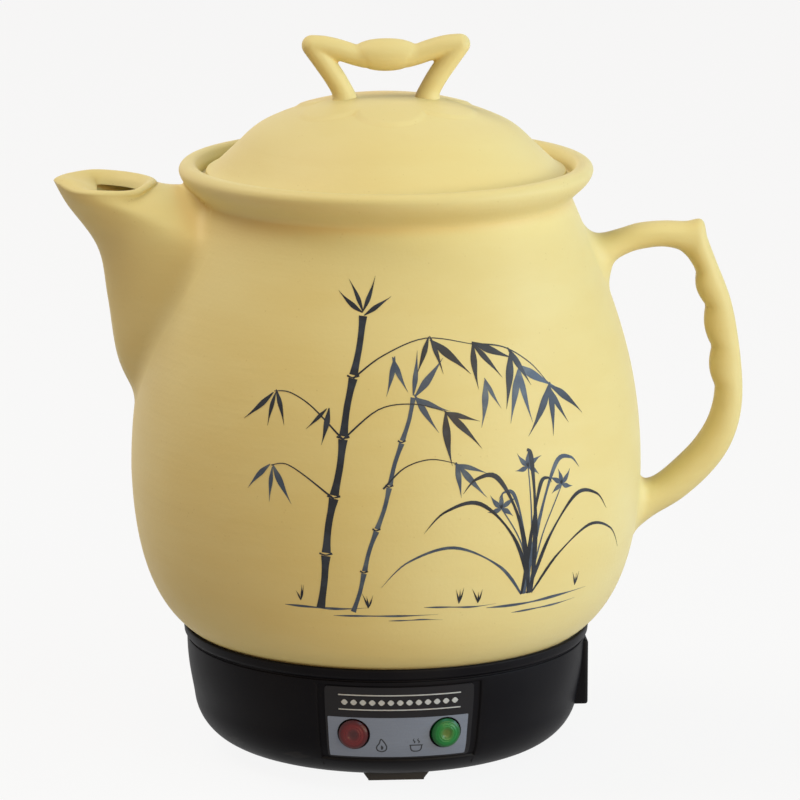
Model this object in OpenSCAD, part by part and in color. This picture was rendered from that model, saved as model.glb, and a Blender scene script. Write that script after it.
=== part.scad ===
// Electric stoneware pot for decocting herbs: a lidded jug on a heated plastic base.
// Millimetres. Z is up, the origin is on the pot's axis in the plane that the feet stand on,
// -Y is the front with the lamps, -X the spout and +X the handle.

/* [Pot body] */
// Radius at the widest part of the belly
belly_r = 102; // [96:1:106]
// Height of the widest part of the belly
belly_z = 114; // [108:1:122]
// Radius of the waist below the rim
neck_r = 73.8; // [72.5:0.1:75.5]
// Height of the waist below the rim
neck_z = 223; // [218:0.5:225]
// Outer radius of the rim lip
rim_r = 82.1; // [80:0.1:85]
// Height of the rim's crest
rim_z = 237.8; // [236:0.1:241]
// Radius of the flat underside that the heater touches
floor_r = 52; // [48:1:56]
// Height of the flat underside above the table
floor_z = 38; // [37:0.5:40]
// Thickness of the fired wall
wall = 7; // [5:0.25:8]
// Thickness of the floor
floor_t = 8; // [6:0.5:10]

/* [Spout] */
// Reach of the pouring tip from the pot's axis
tip_reach = 131.5; // [126:0.5:136]
// Height of the pouring lip
lip_z = 231.5; // [228:0.5:234]
// Half width of the mouth's outer edge
mouth_half = 18.8; // [16:0.2:22]
// Thickness of the spout's wall
spout_wall = 4.5; // [3:0.25:6]
// Half width of the spout where it meets the body
root_half = 33; // [28:0.5:36]
// Height where the spout's keel starts in the body
keel_z = 140.5; // [136:0.5:146]
// Diameter of one strainer hole
strainer_d = 4.4; // [3:0.1:5]
// Distance between strainer holes
strainer_pitch = 8.5; // [7.5:0.1:10]
// Height of the middle strainer hole
strainer_z = 190; // [186:1:194]

/* [Handle] */
// Half width of the handle across the palm
grip_half = 7.4; // [6:0.1:9]
// Height of the finger lobes
lobe_h = 2; // [1:0.1:3]

/* [Lid] */
// Radius of the lid's edge
lid_r = 71.4; // [70:0.1:72]
// Height of the dome above the lid's resting face
dome_h = 31.2; // [28:0.1:36]
// Thickness of the lid
lid_t = 5; // [4:0.25:6]
// Outer radius of the collar that drops into the throat
collar_r = 63.6; // [61:0.1:64.4]
// Depth of the collar
collar_h = 10; // [6:0.5:14]
// Height of the blossom relief
relief_h = 0.8; // [0.5:0.1:1.5]
// Radius of one petal of the relief
petal_r = 13.5; // [13:0.1:15]
// Distance of the petals from the axis
petal_ring = 24.5; // [22:0.5:26]
// Diameter of the steam hole
vent_d = 4.5; // [3:0.1:6]
// Half thickness of the lid's loop
loop_r = 4.2; // [3.4:0.1:5]
// Half width of the lid's loop from corner to corner
loop_half = 29.2; // [26:0.2:32]
// Height of the loop's corners above the dome
loop_rise = 21; // [19:0.5:25]

/* [Base] */
// Radius of the collar's top edge
flange_r = 81.6; // [81.2:0.1:84]
// How far the collar's top edge stands out over the base wall
collar_out = 1.4; // [1:0.1:2]
// Height of the collar's top edge
flange_z = 51; // [50:0.5:52]
// Height of the collar band
flange_h = 5; // [4:0.5:7]
// Radius of the bottom corner
base_round = 20; // [16:0.5:22]
// Wall of the moulding
shell_t = 2.5; // [2:0.1:3]
// Height of the feet
foot_h = 3.3; // [3:0.1:5]
// Width of a foot at its sole
foot_w = 22; // [18:0.5:26]
// Distance of the feet from the axis
foot_ring = 54.5; // [52:0.5:56]
// Radius of the bottom cover
cover_r = 47; // [44:0.5:49]
// Thickness of the bottom cover
cover_t = 2.2; // [1.8:0.1:2.6]

/* [Lamps and label] */
// Diameter of a lamp lens
lens_d = 12; // [10:0.5:13]
// Height of the lamps
lamp_z = 24; // [22:0.5:26]
// Angle of each lamp from the front
lamp_a = 13.4; // [12:0.1:15]
// Half angle of the label
label_a = 21.5; // [20:0.5:24]
// Bottom of the label
label_z0 = 13.5; // [12:0.5:15]
// Top of the label
label_z1 = 43.5; // [42:0.5:44.5]

/* [Power inlet] */
// Width of the inlet's face
inlet_w = 31; // [29:0.5:33]
// Height of the inlet's face
inlet_h = 24; // [22:0.5:25]
// Height of the inlet's centre
inlet_z = 30.8; // [30:0.1:31.5]

/* [Heater] */
// Radius of the heating plate
plate_r = 45; // [42:0.5:48]
// Thickness of the heating plate
plate_t = 6; // [5:0.5:7]
// Radius of the tubular element
tube_r = 3.3; // [3:0.1:4]
// Radius of the ring that the element makes
tube_ring = 34; // [32:0.5:35]
// Height of the bracket's underside
bracket_z = 17.5; // [16.5:0.5:19]

/* [Hidden] */
$fn = 96;

gap = 0.1;          // slip joint, glue line or press fit between fixed pieces
seat_gap = 0.3;     // between pieces that rest on each other
run_gap = 2.4;      // play of the loose lid in its seat
bite = 1;           // how far a cut runs past the face that it opens

stoneware = [0.87, 0.76, 0.47];
black_plastic = [0.10, 0.10, 0.11];
steel = [0.75, 0.75, 0.76];
aluminium = [0.80, 0.81, 0.82];

// ---------------------------------------------------------------- curves

// Points of a cubic curve, without its first point
function bezier(a, b, c, d, n) = [for (i = [1:n]) let (t = i / n, s = 1 - t)
    s*s*s*a + 3*s*s*t*b + 3*s*t*t*c + t*t*t*d];

// Points of an arc in the profile plane
function arc(c, r, from, to, n) = [for (i = [0:n]) let (a = from + (to - from) * i / n)
    c + r * [cos(a), sin(a)]];

// One value of a Catmull-Rom curve through a list of stations
function through(p, i, t) = let (a = p[max(i - 1, 0)], b = p[i], c = p[i + 1],
        d = p[min(i + 2, len(p) - 1)])
    0.5 * (2*b + (c - a)*t + (2*a - 5*b + 4*c - d)*t*t + (3*b - 3*c + d - a)*t*t*t);

// Sine or cosine raised to a power that keeps its sign: the corner of a superellipse
function corner(v, p) = sign(v) * pow(abs(v), p);

// Skin over rings of equally many points, closed by a fan at both ends
module skin(rings) {
    n = len(rings[0]);
    m = len(rings);
    middle = function (r) [for (k = [0:2]) [for (q = r) q[k]] * [for (q = r) 1 / n]];
    points = [for (r = rings) each r, middle(rings[0]), middle(rings[m - 1])];
    sides = [for (i = [0:m - 2], j = [0:n - 1]) let (a = i*n + j, b = i*n + (j + 1) % n)
        each [[a, b, a + n], [b, b + n, a + n]]];
    ends = [for (j = [0:n - 1]) let (k = (j + 1) % n, last = (m - 1) * n)
        each [[j, m*n, k], [last + j, last + k, m*n + 1]]];
    polyhedron(points, concat(sides, ends), convexity = 6);
}

// ---------------------------------------------------------------- pot body

body_sides = 14;    // segments in each long curve of the pot's profile
waist_z = flange_z;                 // where the body goes down into the base
waist_r = flange_r - 2.1;           // its radius there, inside the collar's edge

lower_out = concat([[waist_r, waist_z]],
    bezier([waist_r, waist_z], [belly_r - 3.8, waist_z + 12.8], [belly_r - 0.7, belly_z - 20.5],
           [belly_r, belly_z], body_sides));
upper_out = bezier([belly_r, belly_z], [belly_r, belly_z + 44], [neck_r + 16.8, neck_z - 40],
                   [neck_r, neck_z], body_sides);
heel_out = bezier([floor_r, floor_z], [floor_r + 12, floor_z], [waist_r - 6, waist_z - 6.3],
                  [waist_r, waist_z], 7);
lip_r = 3.3;                        // rounding of the lip's outer edge
lip_out = concat(
    bezier([neck_r, neck_z], [neck_r, neck_z + 3.5], [rim_r - 1, rim_z - 9], [rim_r, rim_z - lip_r], 6),
    arc([rim_r - lip_r, rim_z - lip_r], lip_r, 15, 90, 5));
outside = concat([[floor_r, floor_z]], heel_out, [for (i = [1:body_sides]) lower_out[i]], upper_out);

seat_z = rim_z - 6.3;               // ledge that the lid rests on
seat_r = lid_r + run_gap;           // wall round the ledge
throat_r = collar_r + run_gap;      // throat that the lid's collar drops into
throat_z = neck_z - 4;              // bottom of the throat

// Radius of the pot's outside at a height
function body_r(z) = lookup(z, [for (p = outside) [p[1], p[0]]]);

inner_floor_z = floor_z + floor_t;
inside = concat(
    [[0, inner_floor_z], [floor_r - 6, inner_floor_z]],
    bezier([floor_r - 6, inner_floor_z], [waist_r + 0.5, inner_floor_z],
           [belly_r - wall - 1, belly_z - 42], [belly_r - wall, belly_z], 12),
    bezier([belly_r - wall, belly_z], [belly_r - wall, belly_z + 44], [throat_r + 18, throat_z - 38],
           [throat_r, throat_z], body_sides));

module pot_profile() {
    polygon(concat(
        [[0, floor_z]], outside, lip_out,
        arc([rim_r - lip_r - 1, rim_z - lip_r], lip_r, 90, 140, 3),
        [[seat_r, seat_z + 2.5], [seat_r, seat_z], [throat_r, seat_z], [throat_r, throat_z]],
        [for (i = [len(inside) - 2:-1:0]) inside[i]]));
}

// Everything inside the pot's outer face, grown by an amount: what the luted parts are trimmed with
module body_core(grow) {
    rotate_extrude() polygon(concat([[0, floor_z]], [for (p = outside) p + [grow, 0]],
                                    [for (p = lip_out) p + [grow, 0]], [[0, rim_z]]));
}

// Rows of holes through the wall at the back of the spout, staggered, fewer towards the keel
strainer_rows = [3, 4, 5, 4, 3, 2];
module strainer_holes() {
    row_h = strainer_pitch * sin(60);
    for (i = [0:len(strainer_rows) - 1], k = [0:strainer_rows[i] - 1]) {
        y = (k - (strainer_rows[i] - 1) / 2) * strainer_pitch;
        translate([-belly_r, y, strainer_z + (2 - i) * row_h]) rotate([0, 90, 0])
            cylinder(h = belly_r / 2, d = strainer_d, $fn = 24);
    }
}

module pot_body() {
    color(stoneware) difference() {
        rotate_extrude() pot_profile();
        strainer_holes();
    }
}

// ---------------------------------------------------------------- spout

spout_n = 36;                       // points round the spout
spout_steps = 3;                    // rings from one station to the next
mouth_x = -tip_reach + 18.5;        // where the mouth is widest
mouth_end = -tip_reach + 41;        // inner end of the mouth
root_depth = 4;                     // how deep the root starts in the body's wall, which trims it

// Stations up the spout: keel x and z, ridge x and z, back x and z, half width between the ridges
// and the exponents of the pointed sides and of the round back
root_r = body_r(206) - root_depth;
spout_line = [
    [-body_r(keel_z) + 3, keel_z, -sqrt(root_r*root_r - root_half*root_half), 206, -neck_r + 3, 229.5,
     root_half, 1.5, 0.8],
    [-106.6, 159, -81, 211.3, -76.4, 229.2, root_half - 4, 1.45, 0.8],
    [-110.6, 184, -91.5, 216, -82, 229, root_half - 8, 1.4, 0.85],
    [-114.4, 204.5, -101, 221.5, -86.6, 229.2, mouth_half + 2.8, 1.35, 0.9],
    [-126.4, 222, -110, 227.6, -90, 229.7, mouth_half + 0.6, 1.3, 0.9],
    [-tip_reach, lip_z, mouth_x, lip_z, mouth_end, lip_z - 1.5, mouth_half, 1.3, 0.9]];

// One ring of the spout from a station's values, drawn in by an amount and lifted by another
function spout_ring(s, inset, rise) = let (ridge = [s[2], s[3]], keel = [s[0], s[1]] - ridge,
        back = [s[4], s[5]] - ridge, w = s[6] - inset)
    [for (j = [0:spout_n - 1]) let (a = 360 * j / spout_n, c = cos(a), p = c > 0 ? s[7] : s[8],
        q = c > 0 ? ridge + keel * (1 - 1.5 * inset / norm(keel)) * corner(c, p)
                  : ridge + back * (1 - inset / norm(back)) * corner(-c, p))
        [q[0], w * corner(sin(a), p), q[1] + rise]];

function spout_rings(inset) = [for (i = [0:len(spout_line) - 2], k = [0:spout_steps - 1])
    spout_ring(through(spout_line, i, k / spout_steps), inset, 0)];
function mouth_ring(inset, rise) = spout_ring(spout_line[len(spout_line) - 1], inset, rise);

module spout() {
    color(stoneware) difference() {
        skin(concat(spout_rings(0), [mouth_ring(0, 0), mouth_ring(0.7, 0.9), mouth_ring(1.8, 1.4)]));
        skin(concat(spout_rings(spout_wall),
                    [mouth_ring(spout_wall, 0), mouth_ring(spout_wall - 0.5, 1), mouth_ring(2.4, 3)]));
        body_core(gap);
    }
}

// ---------------------------------------------------------------- handle

// Stations down the handle: back edge x and z, palm edge x and z, half width over grip_half.
// The first and last lie inside the body's wall, which trims them.
grip = [[69, 214, 78, 182, 1.5], [79.5, 208.4, 88, 188.6, 1.35], [86, 207.4, 91.2, 196, 1.15],
        [93, 209, 97, 199.7, 1.02], [101, 211.3, 103.4, 201.4, 1], [111, 212.1, 110.4, 202, 1],
        [120, 211.8, 116.4, 200.8, 1], [126.4, 212.4, 119.6, 198.5, 0.98], [128.4, 205.6, 122, 195.5, 0.98],
        [131.6, 197.2, 124.3, 190.8, 0.96], [138.1, 180.4, 128.3, 177.7, 0.96], [141.6, 163, 131, 160.9, 0.98],
        [143.4, 145, 132.4, 144.9, 1], [142.4, 131.5, 130.4, 133.2, 1.02], [138.2, 119.4, 125, 123.3, 1.05],
        [130.6, 108.9, 117, 114.8, 1.08], [119.5, 99, 109.4, 108.4, 1.12], [108.5, 92.4, 104, 106.4, 1.2],
        [102, 87.5, 101, 107, 1.35], [93, 80, 93, 110, 1.6]];
first_lobe = 9;     // station of the corner where the finger lobes begin
last_lobe = 12;     // station of the last notch
grip_steps = 4;     // rings from one station to the next
grip_n = 20;        // points round the handle

function grip_ring(i, t) = let (s = through(grip, i, t),
        lobe = i >= first_lobe && i < last_lobe ? lobe_h * sin(180 * t) : 0,
        back = [s[0], s[1]], palm = [s[2], s[3]], across = (palm - back) / norm(palm - back),
        far = palm + lobe * across, c = (back + far) / 2, h = (back - far) / 2)
    [for (j = [0:grip_n - 1]) let (a = 360 * j / grip_n, u = corner(cos(a), 0.9), v = corner(sin(a), 0.9))
        [c[0] + h[0]*u, grip_half * s[4] * v, c[1] + h[1]*u]];

module handle() {
    color(stoneware) difference() {
        skin(concat([for (i = [0:len(grip) - 2], k = [0:grip_steps - 1]) grip_ring(i, k / grip_steps)],
                    [grip_ring(len(grip) - 2, 1)]));
        body_core(gap);
    }
}

// ---------------------------------------------------------------- lid

lid_z = seat_z + seat_gap;          // resting face of the lid
apex_z = lid_z + dome_h;
shoulder_r = 48;                    // where the cap turns into the slope
cap_drop = 9.6;                     // how far the cap falls from the apex to the shoulder
function cap_z(r) = apex_z - cap_drop * pow(r / shoulder_r, 2.4);

cap_line = [for (i = [0:10]) let (r = shoulder_r * i / 10) [r, cap_z(r)]];
slope_line = concat(
    bezier([shoulder_r, apex_z - cap_drop], [shoulder_r + 4.2, apex_z - cap_drop - 2],
           [shoulder_r + 7.4, apex_z - cap_drop - 5], [shoulder_r + 10.4, apex_z - cap_drop - 8.2], 5),
    bezier([shoulder_r + 10.4, apex_z - cap_drop - 8.2], [lid_r - 8, lid_z + 9], [lid_r - 4.5, lid_z + 4.6],
           [lid_r - 1.2, lid_z + 3.2], 5));
edge_line = [[lid_r - 0.2, lid_z + 2.4], [lid_r, lid_z + 1.4], [lid_r - 0.4, lid_z + 0.5], [lid_r - 1.4, lid_z]];
lid_out = concat(cap_line, slope_line, edge_line);
collar_in = collar_r - lid_t + 0.5;

module lid_profile() {
    polygon(concat(lid_out,
        [[collar_r, lid_z], [collar_r, lid_z - collar_h], [collar_in, lid_z - collar_h], [collar_in, lid_z + 5]],
        bezier([collar_in, lid_z + 5], [collar_in - 2, lid_z + 10], [shoulder_r + 3, apex_z - cap_drop - 8],
               [shoulder_r - 8, cap_z(shoulder_r - 8) - lid_t - 0.6], 5),
        [for (i = [7:-1:0]) cap_line[i] - [0, lid_t + 0.4]]));
}

// A raised blossom of six petals on the cap, as a skin of even height
module blossom() {
    intersection() {
        rotate(15) rotate_extrude() polygon(concat([for (p = cap_line) p + [0, relief_h]],
                                                   [for (i = [10:-1:0]) cap_line[i] - [0, 1]]));
        union() {
            for (k = [0:5]) rotate(-90 + 60 * k) translate([petal_ring, 0, 0])
                cylinder(h = apex_z + 10, r = petal_r);
            cylinder(h = apex_z + 10, r = petal_ring);
        }
    }
}

vent_ring = 58;     // distance of the steam hole from the axis, on the slope at the back
module lid() {
    color(stoneware) difference() {
        union() {
            rotate(15) rotate_extrude() lid_profile();
            blossom();
        }
        translate([0, vent_ring, lid_z - bite]) cylinder(h = dome_h, d = vent_d, $fn = 32);
    }
}

// A rod along stations [x, z, half height] in the lid's upright plane, its last end rounded
rod_n = 14;
module rod(path) {
    n = len(path);
    line = [for (s = path) [s[0], s[1]]];
    dir = function (i) let (a = line[max(i - 1, 0)], b = line[min(i + 1, n - 1)]) (b - a) / norm(b - a);
    ring = function (c, d, h, w) [for (j = [0:rod_n - 1]) let (a = 360 * j / rod_n)
        [c[0] - d[1] * h * cos(a), w * sin(a), c[1] + d[0] * h * cos(a)]];
    tip = dir(n - 1);
    end_h = path[n - 1][2];
    skin(concat([for (i = [0:n - 1]) ring(line[i], dir(i), path[i][2], 0.4 * loop_r + 0.7 * path[i][2])],
                [for (a = [35, 65, 85]) ring(line[n - 1] + tip * end_h * sin(a), tip, end_h * cos(a),
                                             1.1 * end_h * cos(a))]));
}

loop_z = apex_z + loop_rise;
leg_foot = 16.2;    // distance of a leg's foot from the axis
bar_dip = 5.6;      // how far the bar's middle hangs below its corners
pearl_r = 9.6;      // half width of the pearl in the middle of the bar
pearl_h = 7.4;      // its half height
leg_path = [for (s = [[leg_foot, apex_z - 4], [leg_foot + 0.6, apex_z + 1.5], [leg_foot + 3.6, apex_z + 7.5],
                      [loop_half - 4.6, loop_z - 6.4], [loop_half, loop_z]]) [s[0], s[1], loop_r]];
function bar_station(x) = let (b = loop_z - bar_dip * (0.5 + 0.5 * cos(180 * x / loop_half)),
        h = abs(x) < pearl_r ? pearl_h * sqrt(1 - pow(x / pearl_r, 2)) : 0)
    [x, b + max(h - loop_r, 0) * 0.5, max(h, loop_r)];
bar_path = [for (u = [-1, -0.85, -0.7, -0.55, -0.42]) bar_station(u * loop_half),
            for (u = [-0.95, -0.85, -0.65, -0.35, 0, 0.35, 0.65, 0.85, 0.95]) bar_station(u * pearl_r),
            for (u = [0.42, 0.55, 0.7, 0.85, 1]) bar_station(u * loop_half)];

module lid_loop() {
    color(stoneware) difference() {
        union() {
            for (side = [0, 1]) mirror([side, 0, 0]) rod(leg_path);
            rod(bar_path);
        }
        rotate_extrude() polygon(concat([for (p = cap_line) p + [0, relief_h + gap]],
                                        [[shoulder_r, lid_z], [0, lid_z]]));
    }
}

// ---------------------------------------------------------------- base shell

// Outer wall of the base from the bottom corner up to the collar
base_r = flange_r - collar_out;
corner_c = [base_r - 22.8, foot_h + base_round];
wall_low = corner_c + base_round * [cos(-8), sin(-8)];
wall_top = flange_z - flange_h - 0.4;
wall_out = concat(arc(corner_c, base_round, -90, -8, 9),
                  bezier(wall_low, wall_low + [0.9, 7], [base_r, wall_top - 12], [base_r, wall_top], 6));

// Radius of the base's outer wall at a height
function base_wall(z) = lookup(z, [for (p = wall_out) [p[1], p[0]]]);

shelf_r = cover_r - 7;      // inner edge of the shelf that the cover is screwed to
shelf_z = foot_h + cover_t; // underside of the shelf
collar_base_r = base_r - 0.6;

module housing_profile() {
    wall_in = [for (p = wall_out) if (p[1] > shelf_z + shell_t + 0.5 && p[1] < wall_top - 2) p - [shell_t, 0]];
    polygon(concat(
        [[shelf_r, shelf_z], [cover_r + gap, shelf_z], [cover_r + gap, foot_h]], wall_out,
        [[collar_base_r, wall_top + 0.4], [flange_r - 0.2, flange_z - 0.5], [flange_r - 0.6, flange_z],
         [waist_r + 0.9, flange_z], [waist_r - 2.6, flange_z - 4.2], [base_r - shell_t, flange_z - 7]],
        [for (i = [len(wall_in) - 1:-1:0]) wall_in[i]],
        [[corner_c[0] + 4, shelf_z + shell_t], [shelf_r, shelf_z + shell_t]]));
}

// Places children at the three feet: one in front, two behind
module at_feet(r) { for (k = [0:2]) rotate(-90 + 120 * k) translate([r, 0, 0]) children(); }

// Places children between the feet, where the screws and the bracket's arms are
module at_arms(r) { for (k = [0:2]) rotate(-30 + 120 * k) translate([r, 0, 0]) children(); }

boss_ring = base_r - 9.7;   // distance of the bracket's bosses from the axis
boss_d = 10;
boss_top = flange_z - 10.9;
boss_z = bracket_z + 1.5 + gap;
screw_d = 3;
pad_x = flange_r - 1.3;     // outer face of the inlet's pad
pad_w = inlet_w + 4;
pad_in = base_r - 9.2;      // its inner face, behind which the socket's barbs catch
pad_low = inlet_z - inlet_h / 2 - 0.8;
pad_top = wall_top - 0.3;
inlet_depth = 15.8;         // from the pad's face to the back of the socket

// Places children at the angle of a lamp, lying along its axis from inside to outside
module at_lamp(side) {
    rotate(-90 + side * lamp_a) translate([0, 0, lamp_z]) rotate([0, 90, 0]) children();
}

lamp_out = base_wall(lamp_z);   // where a lamp's axis leaves the wall
recess = 0.8;                   // depth of the label's recess
lens_seat = 1.6;                // depth of the lenses' counterbores

// A skin that follows the base wall between two heights, over an angle each side of the front
module wall_skin(z0, z1, half_a, from, to) {
    rows = [for (i = [0:8]) let (z = z0 + (z1 - z0) * i / 8) [base_wall(z), z]];
    rotate(-90 - half_a) rotate_extrude(angle = 2 * half_a)
        polygon(concat([for (p = rows) p + [to, 0]], [for (i = [8:-1:0]) rows[i] + [from, 0]]));
}

module base_housing() {
    color(black_plastic) difference() {
        union() {
            rotate_extrude() housing_profile();
            at_arms(boss_ring) translate([0, 0, boss_z]) cylinder(h = boss_top - boss_z, d = boss_d);
            rotate([90, 0, 0]) linear_extrude(pad_w, center = true)
                polygon([[pad_in, pad_low], [pad_x, pad_low], [pad_x, pad_top], [pad_in + 3.5, pad_top],
                         [pad_in, pad_top - 2.6]]);
            at_arms(cover_r - 4) translate([0, 0, shelf_z + 1]) cylinder(h = 9, d = 8);
        }
        translate([0, 0, foot_h]) at_arms(cover_r - 4) cylinder(h = 11, d = screw_d, $fn = 24);
        at_arms(boss_ring) translate([0, 0, bracket_z]) cylinder(h = 12, d = screw_d, $fn = 24);
        at_feet(foot_ring) translate([0, 0, -bite])
            cylinder(h = shelf_z + shell_t + 2 * bite, d = 5, $fn = 24);
        wall_skin(label_z0 - 1.5, label_z1 + 0.8, label_a + 2.4, -recess, 3);
        for (side = [-1, 1]) at_lamp(side) {
            translate([0, 0, lamp_out - 8]) cylinder(h = 12, d = lens_d - 2);
            translate([0, 0, lamp_out - lens_seat]) cylinder(h = 6, d = lens_d + 0.6);
        }
        translate([pad_in - bite, -(inlet_w - 3.5) / 2, inlet_z - (inlet_h - 5) / 2])
            cube([pad_x - pad_in, inlet_w - 3.5, inlet_h - 5]);
        translate([pad_x - 1.4, -inlet_w / 2, inlet_z - inlet_h / 2]) cube([10, inlet_w, inlet_h]);
    }
}

module seal_ring() {
    color([0.2, 0.2, 0.2]) rotate_extrude() difference() {
        polygon([[waist_r + 0.6 - gap, flange_z - 0.2], [waist_r - 2.6 - gap, flange_z - 4.1],
                 [waist_r - 6, flange_z - 4.6], [waist_r - 2, flange_z - 0.2]]);
        polygon(concat([[0, floor_z]], [for (p = outside) p + [gap, -gap]], [[0, rim_z]]));
    }
}

// ---------------------------------------------------------------- bottom

vent_slots = 12;
module bottom_cover() {
    color(black_plastic) difference() {
        union() {
            translate([0, 0, foot_h]) cylinder(h = cover_t - gap, r = cover_r);
            for (r = [14, 24]) translate([0, 0, shelf_z - gap * 2]) difference() {
                cylinder(h = 2, r = r);
                translate([0, 0, -bite]) cylinder(h = 4, r = r - 1.5);
            }
        }
        at_arms(cover_r - 4) translate([0, 0, -bite]) cylinder(h = 20, d = screw_d + 0.6, $fn = 24);
        at_arms(cover_r - 4) translate([0, 0, foot_h - bite]) cylinder(h = bite + 1.3, d = 6.4, $fn = 32);
        for (k = [0:vent_slots - 1]) rotate(360 * k / vent_slots) translate([27, -1, 0]) cube([8, 2, 20]);
    }
}

// A screw with a low round head below z = 0 and its thread up to a length
module screw(d, head_d, head_h, length) {
    translate([0, 0, -head_h]) difference() {
        cylinder(h = head_h, d = head_d, $fn = 32);
        for (a = [0, 90]) rotate(a) translate([-head_d / 4, -0.35, -bite]) cube([head_d / 2, 0.7, bite + 0.8]);
    }
    translate([0, 0, -0.01]) cylinder(h = length, d = d, $fn = 24);
}

module cover_screws() {
    color(steel) at_arms(cover_r - 4) translate([0, 0, foot_h + 1.3 - gap]) screw(2.9, 5.8, 1.1, 9);
}

module feet() {
    color([0.07, 0.07, 0.07]) at_feet(foot_ring) {
        difference() {
            skin([for (s = [[0, 0], [0.6, 0.5], [foot_h + 1.5, 2.5]]) let (h = s[0], w = foot_w / 2 + s[1])
                [for (q = [[-4.4, w], [4.4 + s[1] * 0.4, w], [4.4 + s[1] * 0.4, -w], [-4.4, -w]])
                    [q[0], q[1], h]]]);
            translate([-foot_ring, 0, 0]) rotate_extrude() polygon(concat(
                [[0, foot_h - gap]], [for (p = wall_out) p - [0, gap]], [[0, 40]]));
        }
        translate([0, 0, foot_h - 0.4]) cylinder(h = shell_t + cover_t + 1.6, d = 4.9, $fn = 24);
    }
}

// ---------------------------------------------------------------- label and lamps

module label_plate() {
    color([0.62, 0.64, 0.66]) difference() {
        wall_skin(label_z0, label_z1, label_a, -recess + 0.05, -recess + 0.55);
        for (side = [-1, 1]) at_lamp(side) translate([0, 0, lamp_out - 8]) cylinder(h = 12, d = lens_d + 0.6);
    }
}

barrel_l = 15;      // length of a lamp's barrel behind the wall
// A domed lens with a sunk ring, over a stem that drops into the barrel
module lens(tint, side) {
    color(tint) at_lamp(side) translate([0, 0, lamp_out]) rotate_extrude() polygon(concat(
        [[0, -5], [3.6, -5], [3.6, gap - lens_seat], [lens_d / 2, gap - lens_seat], [lens_d / 2, 0.6]],
        arc([0, -9.7], 11.9, 60, 76, 4),
        [[2.6, 1.9], [2.2, 1.5], [0, 1.3]]));
}

module cook_lamp_lens() { lens([0.55, 0.08, 0.10], -1); }
module warm_lamp_lens() { lens([0.05, 0.60, 0.22], 1); }

module lamp_barrels() {
    color([0.85, 0.85, 0.82]) for (side = [-1, 1]) at_lamp(side) translate([0, 0, lamp_out - barrel_l])
        difference() {
            cylinder(h = barrel_l - lens_seat - gap, d = lens_d - 2.4);
            translate([0, 0, 2]) cylinder(h = barrel_l, d = 7.4);
            for (y = [-2, 2]) translate([0, y, -bite]) cylinder(h = 4, d = 1, $fn = 16);
        }
}

module lamp_nuts() {
    color([0.2, 0.2, 0.2]) for (side = [-1, 1]) at_lamp(side) translate([0, 0, lamp_out - shell_t - 3.4])
        difference() {
            cylinder(h = 2.2, d = lens_d + 2, $fn = 6);
            translate([0, 0, -bite]) cylinder(h = 5, d = lens_d - 2.2);
        }
}

// ---------------------------------------------------------------- power inlet

module inlet_socket() {
    color([0.13, 0.13, 0.14]) difference() {
        union() {
            translate([pad_x - 1.4 + gap, -inlet_w / 2 + gap, inlet_z - inlet_h / 2 + gap])
                cube([1.3, inlet_w - 2 * gap, inlet_h - 2 * gap]);
            translate([pad_x - inlet_depth, -(inlet_w - 4) / 2, inlet_z - (inlet_h - 5.5) / 2])
                cube([inlet_depth - 1, inlet_w - 4, inlet_h - 5.5]);
            translate([pad_in - 2.2, -(inlet_w - 1.2) / 2, inlet_z - 3]) cube([2, inlet_w - 1.2, 6]);
        }
        translate([pad_x - inlet_depth + 1.4, 0, inlet_z])
            rotate([90, 0, 90]) linear_extrude(20) socket_outline();
        for (p = pin_places)
            translate([pad_x - inlet_depth - bite, p[0] - 1 - gap / 2, inlet_z + p[1] - 2 - gap / 2])
                cube([5, 2 + gap, 4 + gap]);
    }
}

// Socket opening with two cut corners
module socket_outline() {
    w = 12;
    h = 8;
    polygon([[-w, -h], [w, -h], [w, h - 5], [w - 5, h], [5 - w, h], [-w, h - 5]]);
}

pin_places = [[-7, -2], [0, 2], [7, -2]];
module inlet_pins() {
    color([0.78, 0.75, 0.66]) for (p = pin_places)
        translate([pad_x - inlet_depth - 8, p[0] - 1, inlet_z + p[1] - 2]) difference() {
            cube([inlet_depth + 4.5, 2, 4]);
            translate([2.5, 3, 2]) rotate([90, 0, 0]) cylinder(h = 4, d = 1.6, $fn = 16);
        }
}

// ---------------------------------------------------------------- heater

plate_z = floor_z - seat_gap - plate_t;     // underside of the heating plate
pillar_ring = 27;                           // distance of the plate's pillars from the axis
sheet_t = 1.5;                              // bracket's sheet
shield_t = 0.6;                             // heat shield's sheet
shield_z = bracket_z + sheet_t + gap;       // shield, clamped between bracket and pillars
shield_in = tube_ring - 13;                 // radius of the shield's hole
shield_rim = plate_t - 1;                   // height of its turned-up rim
pillar_z = shield_z + shield_t + gap;
switch_x = 12;                              // distance of the two disc switches from the axis
switch_h = 9;                               // height of their cap and body
clip_z = plate_z - switch_h - gap * 2 - 1;  // underside of the strip that presses them up
fuse_y = -19;                               // place of the thermal fuse
fuse_z = plate_z - 2.3;

module heating_plate() {
    color(aluminium) difference() {
        union() {
            translate([0, 0, plate_z]) cylinder(h = plate_t, r = plate_r);
            at_arms(pillar_ring) translate([0, 0, pillar_z]) cylinder(h = plate_z - pillar_z + 0.1, d = 7);
            translate([0, 0, clip_z + 1 + gap]) cylinder(h = plate_z - clip_z - 1, d = 6);
        }
        rotate_extrude() translate([tube_ring, plate_z]) circle(r = tube_r + gap, $fn = 48);
        at_arms(pillar_ring) translate([0, 0, bracket_z]) cylinder(h = 9, d = screw_d, $fn = 24);
        translate([0, 0, clip_z - 1]) cylinder(h = 9, d = screw_d, $fn = 24);
        translate([0, fuse_y - 6.5, plate_z - bite]) cylinder(h = 5, d = screw_d, $fn = 24);
    }
}

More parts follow.
